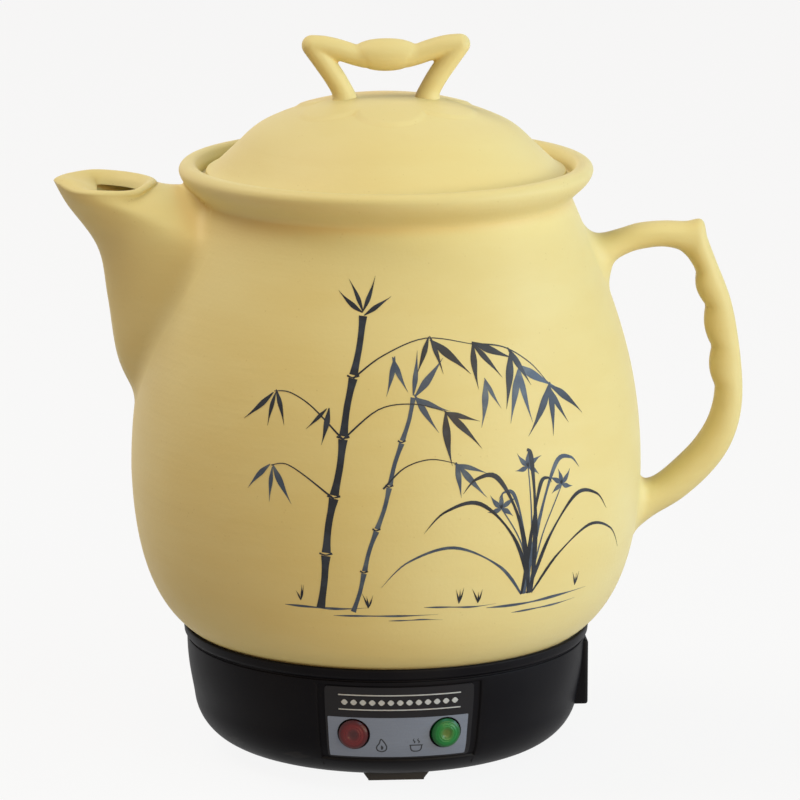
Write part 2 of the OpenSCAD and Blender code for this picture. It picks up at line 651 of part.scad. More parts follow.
tube_open = 40;     // angle left open between the element's two ends
module heater_tube() {
    color([0.45, 0.45, 0.46]) {
        rotate(90 + tube_open / 2) rotate_extrude(angle = 360 - tube_open)
            translate([tube_ring, plate_z]) circle(r = tube_r, $fn = 48);
        for (side = [-1, 1]) rotate(90 + side * tube_open / 2) translate([tube_ring, 0, 0]) {
            translate([0, 0, plate_z]) sphere(r = tube_r, $fn = 48);
            translate([0, 0, plate_z - 7]) cylinder(h = 7, r = tube_r);
            translate([0, 0, plate_z - 10]) cylinder(h = 4, r = 1.3, $fn = 24);
        }
    }
}

module heat_shield() {
    color(aluminium) difference() {
        rotate_extrude() polygon([[shield_in, shield_z], [plate_r - 1, shield_z],
            [plate_r + 4, shield_z + shield_rim], [plate_r + 3.6, shield_z + shield_rim + 0.4],
            [plate_r - 1.3, shield_z + shield_t], [shield_in, shield_z + shield_t]]);
        at_arms(pillar_ring) translate([0, 0, shield_z - 2]) cylinder(h = 4, d = 3.4, $fn = 24);
        for (side = [-1, 1]) rotate(90 + side * tube_open / 2) translate([tube_ring, 0, shield_z - 2])
            cylinder(h = 4, d = 9);
    }
}

module heater_bracket() {
    color(steel) translate([0, 0, bracket_z]) difference() {
        union() {
            cylinder(h = sheet_t, r = pillar_ring + 6);
            at_arms(0) translate([0, -7, 0]) cube([boss_ring + 1, 14, sheet_t]);
        }
        translate([0, 0, -bite]) cylinder(h = 5, r = 19);
        at_arms(boss_ring) translate([0, 0, -bite]) cylinder(h = 5, d = 3.4, $fn = 24);
        at_arms(pillar_ring) translate([0, 0, -bite]) cylinder(h = 5, d = 3.4, $fn = 24);
    }
}

module bracket_screws() {
    color(steel) at_arms(boss_ring) translate([0, 0, bracket_z - gap]) screw(2.9, 5.8, 2, 10);
}

module heater_screws() {
    color(steel) {
        at_arms(pillar_ring) translate([0, 0, bracket_z - gap]) screw(2.9, 5.8, 2, 8);
        translate([0, 0, clip_z - gap]) screw(2.9, 5.8, 2, 7);
        translate([0, fuse_y - 6.5, plate_z - 1 - gap]) screw(2.9, 5.8, 2, 4.6);
    }
}

// A disc switch pressed against the plate: metal cap, body and two blades
module disc_switch(x, tint) {
    color(tint) translate([x, 0, plate_z - gap]) mirror([0, 0, 1]) {
        cylinder(h = 1.6, r = 8.2);
        translate([0, 0, 1.5]) cylinder(h = switch_h - 1.5, r = 7.2);
        for (y = [-1, 1]) translate([-3, y * 4.6 - 0.4, switch_h - 0.1]) cube([6, 0.8, 7]);
    }
}

module thermostat() { disc_switch(-switch_x, [0.35, 0.24, 0.18]); }
module overheat_cutout() { disc_switch(switch_x, [0.16, 0.16, 0.17]); }

// Strip that presses both switches against the plate, held by one screw in the middle
module switch_clip() {
    color(steel) difference() {
        translate([-switch_x - 6, -3.4, clip_z]) cube([2 * switch_x + 12, 6.8, 1]);
        translate([0, 0, clip_z - bite]) cylinder(h = 3, d = 3.4, $fn = 24);
    }
}

module thermal_fuse() {
    color([0.88, 0.86, 0.80]) translate([0, fuse_y, fuse_z]) rotate([0, 90, 0]) {
        translate([0, 0, -6]) cylinder(h = 12, r = 2.1, $fn = 32);
        for (s = [-1, 1]) translate([0, 0, s * 9 - 3.5]) cylinder(h = 7, r = 0.6, $fn = 16);
    }
}

// Strap over the fuse, screwed to the plate beside it
module fuse_strap() {
    color(steel) difference() {
        union() {
            translate([-2.5, fuse_y, fuse_z]) rotate([0, 90, 0]) cylinder(h = 5, r = 3);
            translate([-2.5, fuse_y - 3, fuse_z]) cube([5, 6, plate_z - gap - fuse_z]);
            translate([-3.5, fuse_y - 10, plate_z - 1]) cube([7, 10, 1 - gap]);
        }
        translate([-5, fuse_y, fuse_z]) rotate([0, 90, 0]) cylinder(h = 10, r = 2.2, $fn = 32);
        translate([-5, fuse_y - 2.2, fuse_z]) cube([10, 4.4, 10]);
        translate([0, fuse_y - 6.5, plate_z - 3]) cylinder(h = 5, d = 3.4, $fn = 24);
    }
}

pot_body();
spout();
handle();
lid();
lid_loop();
seal_ring();
base_housing();
bottom_cover();
cover_screws();
feet();
label_plate();
cook_lamp_lens();
warm_lamp_lens();
lamp_barrels();
lamp_nuts();
inlet_socket();
inlet_pins();
heating_plate();
heater_tube();
heat_shield();
heater_bracket();
bracket_screws();
heater_screws();
thermostat();
overheat_cutout();
switch_clip();
thermal_fuse();
fuse_strap();
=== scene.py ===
"""Looks, light and camera of the electric herb pot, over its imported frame.

The code works in millimetres; the meshes are made in metres, in the frame's own axes:
Z up, the pot's axis at the origin, the lamps at -Y, the spout at -X and the handle at +X.
"""
import logging
import math
import random
from dataclasses import dataclass, field
from enum import Enum
from typing import Any, Callable, Iterable, Optional, Sequence, Union

import bmesh
import bpy
from bmesh.types import BMEdge, BMVert
from mathutils import Matrix, Vector


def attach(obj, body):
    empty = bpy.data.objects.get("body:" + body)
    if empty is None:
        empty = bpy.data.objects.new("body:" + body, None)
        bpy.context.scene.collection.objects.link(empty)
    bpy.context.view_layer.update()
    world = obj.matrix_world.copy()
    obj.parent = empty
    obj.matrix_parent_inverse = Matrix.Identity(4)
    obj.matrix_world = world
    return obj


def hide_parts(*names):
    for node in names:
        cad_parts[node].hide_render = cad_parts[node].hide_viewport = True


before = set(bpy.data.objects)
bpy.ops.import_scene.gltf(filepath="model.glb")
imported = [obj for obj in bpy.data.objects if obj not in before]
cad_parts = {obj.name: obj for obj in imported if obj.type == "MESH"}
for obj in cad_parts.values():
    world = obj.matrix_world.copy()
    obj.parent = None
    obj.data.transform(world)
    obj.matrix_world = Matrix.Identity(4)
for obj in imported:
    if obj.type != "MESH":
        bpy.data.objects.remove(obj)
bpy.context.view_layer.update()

log = logging.getLogger("herb_pot")
MM = 0.001
Line = list[Vector]
Ring = list[Vector]


# ------------------------------------------------------------------ curves


def bezier(a: Sequence, b: Sequence, c: Sequence, d: Sequence, n: int) -> Line:
    """Samples a cubic curve, without its first point.

    Args:
        a: start of the curve.
        b: handle of the start.
        c: handle of the end.
        d: end of the curve.
        n: number of points.

    Returns:
        The points, in order.
    """
    pa, pb, pc, pd = Vector(a), Vector(b), Vector(c), Vector(d)
    out = []
    for i in range(1, n + 1):
        t = i / n
        s = 1 - t
        out.append(s * s * s * pa + 3 * s * s * t * pb + 3 * s * t * t * pc + t * t * t * pd)
    return out


def arc(centre: Sequence, radius: float, start: float, end: float, n: int) -> Line:
    """Samples an arc in a profile's plane, both ends included.

    Args:
        centre: middle of the circle.
        radius: its radius.
        start: first angle in degrees.
        end: last angle in degrees.
        n: number of segments.

    Returns:
        The points, in order.
    """
    turns = [math.radians(start + (end - start) * i / n) for i in range(n + 1)]
    return [Vector(centre) + radius * Vector((math.cos(a), math.sin(a))) for a in turns]


def through(stations: Sequence[Sequence[float]], at: float) -> list[float]:
    """Evaluates a Catmull-Rom curve through rows of numbers.

    Args:
        stations: the rows that the curve passes through.
        at: the place along it, where 1.5 is halfway from the second row to the third.

    Returns:
        One row of numbers.
    """
    i = max(0, min(int(at), len(stations) - 2))
    t = at - i
    a, b = stations[max(i - 1, 0)], stations[i]
    c, d = stations[i + 1], stations[min(i + 2, len(stations) - 1)]
    return [0.5 * (2 * q + (r - p) * t + (2 * p - 5 * q + 4 * r - s) * t * t
                   + (3 * q - 3 * r + s - p) * t ** 3) for p, q, r, s in zip(a, b, c, d)]


def corner(value: float, power: float) -> float:
    """Raises a sine or cosine to a power and keeps its sign, as the corner of a superellipse."""
    return math.copysign(abs(value) ** power, value)


def smooth(low: float, high: float, value: float) -> float:
    """Returns a smooth step from 0 at low to 1 at high."""
    t = max(0.0, min(1.0, (value - low) / (high - low)))
    return t * t * (3 - 2 * t)


def rounded(corners: Sequence[Sequence[float]], steps: int = 4) -> Line:
    """Makes a line through corners and cuts each to a soft curve.

    Args:
        corners: rows of x, y and the length that the curve takes of each side, 0 for a plain point.
        steps: segments of each curve.

    Returns:
        The points, in order.
    """
    out = []
    for i, (x, y, cut) in enumerate(corners):
        here = Vector((x, y))
        if cut <= 0 or i in (0, len(corners) - 1):
            out.append(here)
            continue
        back = here + (Vector(corners[i - 1][:2]) - here).normalized() * cut
        ahead = here + (Vector(corners[i + 1][:2]) - here).normalized() * cut
        for k in range(steps + 1):
            t = k / steps
            out.append((1 - t) ** 2 * back + 2 * t * (1 - t) * here + t * t * ahead)
    return out


def spaced(line: Line, n: int) -> Line:
    """Returns n points evenly spaced along a line, from its first and without its last."""
    reach = [0.0]
    for a, b in zip(line, line[1:]):
        reach.append(reach[-1] + (b - a).length)
    out, i = [], 0
    for k in range(n):
        goal = reach[-1] * k / n
        while reach[i + 1] < goal:
            i += 1
        out.append(line[i].lerp(line[i + 1], (goal - reach[i]) / (reach[i + 1] - reach[i])))
    return out


def plain(points: Iterable[Vector]) -> list[tuple[float, float, float]]:
    """Gives profile points the zero cut that rounded() takes."""
    return [(p[0], p[1], 0.0) for p in points]


@dataclass(frozen=True)
class TurnedSurface:
    """A surface of revolution about Z, known by the line of its outside from (radius, height)."""

    line: tuple

    def foot(self, point: Vector) -> tuple[Vector, Vector, float]:
        """Finds the nearest place on the surface.

        Args:
            point: any point in space.

        Returns:
            The place, the outward normal there, and the point's height over the surface.
        """
        radius = math.hypot(point.x, point.y)
        around = Vector((point.x, point.y, 0)) / max(radius, 1e-9)
        flat = Vector((radius, point.z))
        best = None
        for i in range(len(self.line) - 1):
            a, b = self.line[i], self.line[i + 1]
            side = b - a
            t = max(0.0, min(1.0, (flat - a).dot(side) / side.length_squared))
            gap = (flat - a - side * t).length_squared
            if best is None or gap < best[0]:
                best = (gap, i, t)
        _, i, t = best
        normal = self._normal(i) * (1 - t) + self._normal(i + 1) * t
        normal.normalize()
        spot = self.line[i] + (self.line[i + 1] - self.line[i]) * t
        height = (flat - spot).dot(normal)
        return (around * spot[0] + Vector((0, 0, spot[1])),
                around * normal[0] + Vector((0, 0, normal[1])), height)

    def _normal(self, i: int) -> Vector:
        """Returns the outward normal at one point of the line, in the profile's plane."""
        a = self.line[max(i - 1, 0)]
        b = self.line[min(i + 1, len(self.line) - 1)]
        run = b - a
        return Vector((run[1], -run[0])).normalized()

    def radius(self, z: float) -> float:
        """Returns the radius at a height."""
        for a, b in zip(self.line, self.line[1:]):
            if min(a[1], b[1]) <= z <= max(a[1], b[1]) and a[1] != b[1]:
                return a[0] + (b[0] - a[0]) * (z - a[1]) / (b[1] - a[1])
        return self.line[0][0] if z < self.line[0][1] else self.line[-1][0]


# ------------------------------------------------------------------ meshes


class Clay:
    """A mesh under construction, in millimetres."""

    def __init__(self) -> None:
        """Starts with nothing."""
        self.bm = bmesh.new()

    def ring(self, points: Ring) -> list[BMVert]:
        """Starts a tube with a closed ring of edges."""
        made = bmesh.ops.create_circle(self.bm, cap_ends=False, segments=len(points), radius=1.0)["verts"]
        for vert, point in zip(made, points):
            vert.co = point
        return made

    def grow(self, ring: list[BMVert], points: Ring, closed: bool = True) -> list[BMVert]:
        """Extrudes a row of edges to its next place.

        Args:
            ring: the row's vertices, in order.
            points: where the new row's vertices go.
            closed: whether the last vertex joins the first.

        Returns:
            The new row's vertices, in order.
        """
        pairs = zip(ring, ring[1:] + ring[:1] if closed else ring[1:])
        edges = [self.bm.edges.get(pair) for pair in pairs]
        made = bmesh.ops.extrude_edge_only(self.bm, edges=edges)["geom"]
        fresh = {g for g in made if isinstance(g, BMVert)}
        out = [next(e.other_vert(v) for e in v.link_edges if e.other_vert(v) in fresh) for v in ring]
        for vert, point in zip(out, points):
            vert.co = point
        return out

    def loft(self, rings: Sequence[Ring]) -> tuple[list[BMVert], list[BMVert]]:
        """Makes a tube through rings and returns its first and last row of vertices."""
        first = row = self.ring(rings[0])
        for points in rings[1:]:
            row = self.grow(row, points)
        return first, row

    def cap(self, row: list[BMVert]) -> None:
        """Closes a ring with a fan of triangles."""
        face = self.bm.faces.new(row)
        bmesh.ops.poke(self.bm, faces=[face])

    def turn(self, line: Line, steps: int, angle: float = math.tau, start: float = 0.0) -> None:
        """Spins a profile about Z.

        Args:
            line: (radius, height) points.
            steps: segments of the turn.
            angle: how far it turns, in radians.
            start: the angle of the first section, in radians.
        """
        verts = [self.bm.verts.new((p[0] * math.cos(start), p[0] * math.sin(start), p[1])) for p in line]
        edges = [self.bm.edges.new(pair) for pair in zip(verts, verts[1:])]
        bmesh.ops.spin(self.bm, geom=verts + edges, cent=(0, 0, 0), axis=(0, 0, 1), dvec=(0, 0, 0),
                       angle=angle, steps=steps, use_merge=angle >= math.tau - 1e-6, use_duplicate=False)
        bmesh.ops.remove_doubles(self.bm, verts=self.bm.verts, dist=1e-4)

    def move(self, change: Callable[[Vector], Vector], verts: Optional[Iterable[BMVert]] = None) -> None:
        """Moves vertices by a rule of their place."""
        for vert in verts if verts is not None else self.bm.verts:
            vert.co = change(vert.co)

    def bevel(self, edges: Iterable[BMEdge], offset: float, segments: int = 2) -> None:
        """Rounds edges."""
        bmesh.ops.bevel(self.bm, geom=list(edges), offset=offset, offset_type="OFFSET", segments=segments,
                        profile=0.5, affect="EDGES", material=-1, clamp_overlap=True)

    def block(self, low: Sequence[float], high: Sequence[float], offset: float = 0.0,
              segments: int = 3) -> "Clay":
        """Adds a box between two corners, its edges rounded by an offset."""
        lo, hi = Vector(low), Vector(high)
        size = Matrix.Diagonal((*(hi - lo), 1.0))
        made = bmesh.ops.create_cube(self.bm, size=1.0, matrix=Matrix.Translation((lo + hi) / 2) @ size)
        if offset > 0:
            edges = {e for v in made["verts"] for e in v.link_edges}
            self.bevel(edges, offset, segments)
        return self

    def rod(self, matrix: Matrix, radius: float, length: float, segments: int = 48) -> "Clay":
        """Adds a capped cylinder that starts at a matrix's origin and runs along its Z."""
        bmesh.ops.create_cone(self.bm, cap_ends=True, segments=segments, radius1=radius, radius2=radius,
                              depth=length, matrix=matrix @ Matrix.Translation((0, 0, length / 2)))
        return self

    def mesh(self, name: str, angle: float = 35.0) -> bpy.types.Mesh:
        """Ends the work.

        Args:
            name: the mesh's name.
            angle: edges that turn more than this many degrees stay sharp in the shading.

        Returns:
            The mesh in metres, with its faces pointing outwards.
        """
        bmesh.ops.recalc_face_normals(self.bm, faces=self.bm.faces)
        bmesh.ops.scale(self.bm, vec=(MM, MM, MM), verts=self.bm.verts)
        mesh = bpy.data.meshes.new(name)
        self.bm.to_mesh(mesh)
        self.bm.free()
        shade(mesh, angle)
        return mesh


def shade(mesh: bpy.types.Mesh, angle: float) -> None:
    """Smooths a mesh's shading, except across edges sharper than an angle in degrees."""
    mesh.polygons.foreach_set("use_smooth", [True] * len(mesh.polygons))
    mesh.set_sharp_from_angle(angle=math.radians(angle))
    mesh.update()


def new_object(name: str, mesh: bpy.types.Mesh) -> bpy.types.Object:
    """Puts a mesh into the scene at the origin."""
    made = bpy.data.objects.new(name, mesh)
    bpy.context.scene.collection.objects.link(made)
    return made


def apply_modifiers(piece: bpy.types.Object, angle: float) -> None:
    """Turns a piece's modifiers into its mesh and shades it again."""
    graph = bpy.context.evaluated_depsgraph_get()
    done = bpy.data.meshes.new_from_object(piece.evaluated_get(graph), depsgraph=graph)
    old = piece.data
    piece.modifiers.clear()
    piece.data = done
    bpy.data.meshes.remove(old)
    shade(done, angle)


class Cut(Enum):
    """What a second solid does to a piece."""

    TAKE = "DIFFERENCE"
    JOIN = "UNION"
    KEEP = "INTERSECT"


def carve(piece: bpy.types.Object, tools: Sequence[tuple[Clay, Cut]], angle: float = 35.0) -> None:
    """Cuts solids out of a piece or joins them to it.

    Args:
        piece: the object that changes.
        tools: solids in millimetres and what each does, in order.
        angle: edges that turn more than this many degrees stay sharp in the shading.
    """
    helpers = []
    for i, (clay, cut) in enumerate(tools):
        helper = new_object(f"tool_{i}", clay.mesh(f"tool_{i}"))
        step = piece.modifiers.new(f"step_{i}", "BOOLEAN")
        step.operation = cut.value
        step.solver = "EXACT"
        step.object = helper
        helpers.append(helper)
    apply_modifiers(piece, angle)
    for helper in helpers:
        mesh = helper.data
        bpy.data.objects.remove(helper)
        bpy.data.meshes.remove(mesh)


@dataclass
class Piece:
    """One finished piece of the visual model."""

    name: str
    mesh: bpy.types.Mesh
    body: str
    slot: str
    material: bpy.types.Material
    stands_for: tuple = ()

    def place(self) -> bpy.types.Object:
        """Adds the piece to the scene, on its body, in place of the nodes that it stands for."""
        made = new_object(self.name, self.mesh)
        self.dress(made)
        return made

    def dress(self, made: bpy.types.Object) -> None:
        """Gives an object this piece's material and body."""
        made.data.materials.clear()
        made.data.materials.append(self.material)
        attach(made, self.body)
        if self.stands_for:
            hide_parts(*self.stands_for)
        count = sum(len(p.vertices) - 2 for p in made.data.polygons)
        log.info("%s: %d triangles on body %s", self.name, count, self.body)


# ------------------------------------------------------------------ luted roots


@dataclass
class Root:
    """The place where one end of a pulled or pressed piece is luted to a turned surface.

    Each track is the path of one point round the piece's side, from inside the surface
    outwards. The root ends the piece in a soft fillet that lies down on the surface.
    """

    surface: TurnedSurface
    tracks: list
    up: Callable[[float], float]
    out: Callable[[float], float]
    steps: int = 7
    starts: list = field(default_factory=list)

    def rings(self) -> list[Ring]:
        """Works out the fillet.

        Returns:
            Rings from the buried edge to the piece's own side. The list `starts` then holds
            where each track leaves the fillet.
        """
        n = len(self.tracks)
        meets = [self._meeting(t) for t in self.tracks]
        foot = [self.surface.foot(at(self.tracks[j], meets[j]))[:2] for j in range(n)]
        middle = sum((f[0] for f in foot), Vector()) / n
        self.starts = []
        columns = []
        for j in range(n):
            spot, normal = foot[j]
            along = foot[(j + 1) % n][0] - foot[j - 1][0]
            away = normal.cross(along).normalized()
            if away.dot(spot - middle) < 0:
                away = -away
            share = j / n
            reach = self.out(share)
            low, low_normal, _ = self.surface.foot(spot + away * reach)
            flat = (low - spot)
            flat -= low_normal * flat.dot(low_normal)
            handle = low - flat.normalized() * reach
            start = self._leave(self.tracks[j], meets[j], self.up(share))
            self.starts.append(start)
            high = at(self.tracks[j], start)
            lean = (at(self.tracks[j], start + 0.5) - high).normalized()
            side = high - lean * (high - spot).length * 0.62
            column = []
            for depth, further in ((0.9, 2.6), (0.25, 1.5), (0.04, 0.7)):
                place, there, _ = self.surface.foot(low + flat.normalized() * further)
                column.append(place - there * depth)
            column.append(low.copy())
            base = low + (handle - low) * 0.62
            column += bezier(low, base, side, high, self.steps)
            columns.append(column)
        return [list(ring) for ring in zip(*columns)]

    def _meeting(self, track: Line) -> float:
        """Returns where a track comes out of the surface."""
        for i in range(len(track) - 1, 0, -1):
            here = self.surface.foot(track[i - 1])[2]
            if here < 0:
                ahead = self.surface.foot(track[i])[2]
                return i - 1 + here / (here - ahead)
        return 0.0

    def _leave(self, track: Line, meet: float, length: float) -> float:
        """Returns the place on a track at a length beyond its meeting with the surface."""
        place, left = meet, length
        while place < len(track) - 1 and left > 0:
            nxt = min(math.floor(place) + 1, len(track) - 1)
            step = (at(track, nxt) - at(track, place)).length
            if step >= left:
                return place + (nxt - place) * left / max(step, 1e-9)
            left -= step
            place = nxt
        return place


def at(track: Line, place: float) -> Vector:
    """Returns the point at a place along a list of points, between two of them."""
    i = max(0, min(int(place), len(track) - 2))
    return track[i].lerp(track[i + 1], place - i)


def along(tracks: Sequence[Line], starts: Sequence[float], ends: Sequence[float], n: int) -> list[Ring]:
    """Samples tracks evenly between their own start and end places.

    Args:
        tracks: the paths.
        starts: where each begins; its ring isn't made again.
        ends: where each stops.
        n: number of rings.

    Returns:
        The rings, in order.
    """
    return [[at(t, a + (b - a) * k / n) for t, a, b in zip(tracks, starts, ends)] for k in range(1, n + 1)]


# ------------------------------------------------------------------ materials


class Value:
    """A number socket that takes part in Python sums, each of which adds a Math node."""

    def __init__(self, bench: "Bench", socket: bpy.types.NodeSocket) -> None:
        """Wraps a socket of a bench's tree."""
        self.bench = bench
        self.socket = socket

    def _math(self, operation: str, first: Any, second: Any = None, third: Any = None) -> "Value":
        """Adds one Math node."""
        inputs = {i: v for i, v in enumerate((first, second, third)) if v is not None}
        return self.bench.node("ShaderNodeMath", {"operation": operation}, inputs).value()

    def __add__(self, other: Any) -> "Value":
        """Adds."""
        return self._math("ADD", self, other)

    __radd__ = __add__

    def __sub__(self, other: Any) -> "Value":
        """Subtracts."""
        return self._math("SUBTRACT", self, other)

    def __rsub__(self, other: Any) -> "Value":
        """Subtracts from a plain number."""
        return self._math("SUBTRACT", other, self)

    def __mul__(self, other: Any) -> "Value":
        """Multiplies."""
        return self._math("MULTIPLY", self, other)

    __rmul__ = __mul__

    def __truediv__(self, other: Any) -> "Value":
        """Divides."""
        return self._math("DIVIDE", self, other)

    def __neg__(self) -> "Value":
        """Changes the sign."""
        return self * -1.0

    def power(self, other: Any) -> "Value":
        """Raises to a power."""
        return self._math("POWER", self, other)

    def size(self) -> "Value":
        """Returns the value without its sign."""
        return self._math("ABSOLUTE", self)

    def sine(self) -> "Value":
        """Returns the sine of an angle in radians."""
        return self._math("SINE", self)

    def root(self) -> "Value":
        """Returns the square root."""
        return self._math("SQRT", self)

    def step(self, low: float, high: float) -> "Value":
        """Returns a smooth step from 0 at low to 1 at high."""
        made = self.bench.node("ShaderNodeMapRange", {"interpolation_type": "SMOOTHSTEP", "clamp": True},
                               {"Value": self, "From Min": low, "From Max": high})
        return made.value("Result")


class Made:
    """A node that a bench has made."""

    def __init__(self, bench: "Bench", node: bpy.types.Node) -> None:
        """Wraps a node."""
        self.bench = bench
        self.node = node

    def out(self, name: Union[str, int] = 0) -> bpy.types.NodeSocket:
        """Returns an output socket by name or number."""
        return self.node.outputs[name]

    def value(self, name: Union[str, int] = 0) -> Value:
        """Returns an output as a value for sums."""
        return Value(self.bench, self.node.outputs[name])


class Bench:
    """The node tree of one material or world, with a Principled surface to finish it."""

    def __init__(self, tree: bpy.types.NodeTree) -> None:
        """Clears a tree and starts on it."""
        self.tree = tree
        tree.nodes.clear()

    def node(self, kind: str, settings: Optional[dict] = None, inputs: Optional[dict] = None) -> Made:
        """Adds a node.

        Args:
            kind: the node's type name.
            settings: its properties, set first; "stops" are a ramp's (place, colour) pairs.
            inputs: what its sockets get, by name or number: plain values, sockets or values.

        Returns:
            The node.
        """
        made = self.tree.nodes.new(kind)
        for key, setting in (settings or {}).items():
            if key == "stops":
                ramp = made.color_ramp.elements
                while len(ramp) < len(setting):
                    ramp.new(0.5)
                for element, (place, colour) in zip(ramp, setting):
                    element.position = place
                    element.color = colour
            else:
                setattr(made, key, setting)
        for key, given in (inputs or {}).items():
            socket = made.inputs[key]
            if isinstance(given, Value):
                given = given.socket
            if isinstance(given, bpy.types.NodeSocket):
                self.tree.links.new(given, socket)
            else:
                socket.default_value = given
        return Made(self, made)

    def place(self) -> bpy.types.NodeSocket:
        """Returns the object's own coordinates, in metres."""
        return self.node("ShaderNodeTexCoord").out("Object")

    def stretched(self, vector: bpy.types.NodeSocket, scale: tuple, turn: tuple = (0, 0, 0)) -> Any:
        """Returns a vector scaled along its axes and turned."""
        return self.node("ShaderNodeMapping", {}, {"Vector": vector, "Scale": scale, "Rotation": turn}).out()

    def noise(self, vector: Any, scale: float, detail: float = 3.0, rough: float = 0.5) -> Value:
        """Returns a cloudy pattern from 0 to 1, its scale in features per metre."""
        return self.node("ShaderNodeTexNoise", {}, {"Vector": vector, "Scale": scale, "Detail": detail,
                                                    "Roughness": rough}).value(0)

    def cells(self, vector: Any, scale: float, feature: str = "F1") -> Value:
        """Returns the distance to scattered points."""
        made = self.node("ShaderNodeTexVoronoi", {"feature": feature}, {"Vector": vector, "Scale": scale})
        return made.value(0)

    def mix(self, factor: Any, first: Any, second: Any) -> bpy.types.NodeSocket:
        """Mixes two colours."""
        made = self.node("ShaderNodeMix", {"data_type": "RGBA"}, {0: factor, 6: first, 7: second})
        return made.out(2)

    def bump(self, height: Any, distance: float, strength: float = 1.0, under: Any = None) -> Any:
        """Turns a height from 0 to 1 into a normal.

        Args:
            height: the pattern.
            distance: its depth in metres.
            strength: how much of it shows.
            under: a normal that it starts from.

        Returns:
            The normal's socket.
        """
        inputs = {"Height": height, "Distance": distance, "Strength": strength}
        if under is not None:
            inputs["Normal"] = under
        return self.node("ShaderNodeBump", {}, inputs).out()

    def surface(self, **inputs: Any) -> None:
        """Ends the tree in a Principled surface; underscores in the names stand for spaces."""
        named = {k.replace("_", " "): v for k, v in inputs.items()}
        made = self.node("ShaderNodeBsdfPrincipled", {}, named)
        self.node("ShaderNodeOutputMaterial", {}, {"Surface": made.out()})


def srgb(red: float, green: float, blue: float) -> tuple[float, float, float, float]:
    """Turns a colour as it is seen, each part from 0 to 255, into the renderer's numbers."""
    parts = []
    for part in (red, green, blue):
        c = part / 255
        parts.append(c / 12.92 if c <= 0.04045 else ((c + 0.055) / 1.055) ** 2.4)
    return (*parts, 1.0)


def start(name: str) -> tuple[bpy.types.Material, Bench]:
    """Starts a material of a name and its tree."""
    material = bpy.data.materials.new(name)
    material.use_nodes = True
    return material, Bench(material.node_tree)


@dataclass(frozen=True)
class FiredStoneware:
    """Satin fired clay: warm mottled colour, paler on edges from wear and from a painted highlight, darker in creases
    from painted shade, a fine eggshell skin.
    """

    body: tuple = srgb(224, 205, 140)
    pale: tuple = srgb(232, 220, 164)
    # A darker, more orange tone: painted shade for concave creases.
    painted_crease_shade: tuple = srgb(206, 168, 88)
    iron: tuple = srgb(150, 104, 52)

    def make(self) -> bpy.types.Material:
        """Builds the material."""
        material, bench = start("fired_stoneware")
        place = bench.place()
        cloud = bench.noise(place, 9.0, 2.0).step(0.36, 0.66)
        drift = bench.noise(bench.stretched(place, (1, 1, 3.2)), 26.0, 4.0).step(0.3, 0.72)
        edge = bench.node("ShaderNodeNewGeometry").value("Pointiness")
        colour = bench.mix(cloud * 0.35 + drift * 0.22, self.body, self.pale)
        # Convex edges go paler: partly glaze wear, partly a painted highlight on crests and ridges.
        colour = bench.mix(edge.step(0.503, 0.56) * 0.45, colour, self.pale)
        # Concave creases go darker and more orange: painted shade.
        colour = bench.mix(edge.step(0.497, 0.44) * 0.55, colour, self.painted_crease_shade)
        speck = 1.0 - bench.cells(place, 420.0).step(0.07, 0.16)
        rare = bench.noise(place, 150.0, 1.0).step(0.56, 0.66)
        colour = bench.mix(speck * rare * 0.16, colour, self.iron)
        skin = bench.noise(place, 620.0, 3.0)
        turning = bench.noise(bench.stretched(place, (1, 1, 14)), 22.0, 2.0)
        normal = bench.bump(turning, 0.0009, 0.10)
        normal = bench.bump(skin, 0.00012, 0.55, normal)
        rough = 0.42 + (1.0 - cloud) * 0.05 + skin * 0.10
        bench.surface(Base_Color=colour, Roughness=rough, Normal=normal, IOR=1.5, Specular_IOR_Level=0.20)
        return material


@dataclass(frozen=True)
class MouldedPlastic:
    """Moulded thermoplastic: fine spark-eroded grain, slight wear and dust."""

    name: str
    colour: tuple
    dust: tuple = srgb(120, 118, 116)
    roughness: float = 0.38
    grain: float = 0.00006
    wear: float = 0.10
    shine: float = 0.3

    def make(self) -> bpy.types.Material:
        """Builds the material."""
        material, bench = start(self.name)
        place = bench.place()
        grain = bench.noise(place, 1900.0, 2.0)
        cloud = bench.noise(place, 30.0, 4.0).step(0.4, 0.75)
        edge = bench.node("ShaderNodeNewGeometry").value("Pointiness").step(0.51, 0.58)
        colour = bench.mix((cloud * 0.35 + edge) * self.wear, self.colour, self.dust)
        rough = self.roughness + cloud * 0.08 + grain * 0.06
        bench.surface(Base_Color=colour, Roughness=rough, Normal=bench.bump(grain, self.grain, 0.6), IOR=1.48,
                      Specular_IOR_Level=self.shine)
        return material


@dataclass(frozen=True)
class WorkedMetal:
    """Drawn, turned or rolled metal with the fine lines of its working."""

    name: str
    colour: tuple
    lines: tuple = (1.0, 1.0, 30.0)
    scale: float = 240.0
    roughness: float = 0.32
    stain: tuple = srgb(96, 88, 78)

    def make(self) -> bpy.types.Material:
        """Builds the material."""
        material, bench = start(self.name)
        place = bench.place()
        line = bench.noise(bench.stretched(place, self.lines), self.scale, 3.0)
        cloud = bench.noise(place, 45.0, 4.0).step(0.48, 0.8)
        colour = bench.mix(cloud * 0.28 + line * 0.10, self.colour, self.stain)
        rough = self.roughness + line * 0.14 + cloud * 0.12
        bench.surface(Base_Color=colour, Metallic=1.0, Roughness=rough, Normal=bench.bump(line, 0.00005, 0.5))
        return material


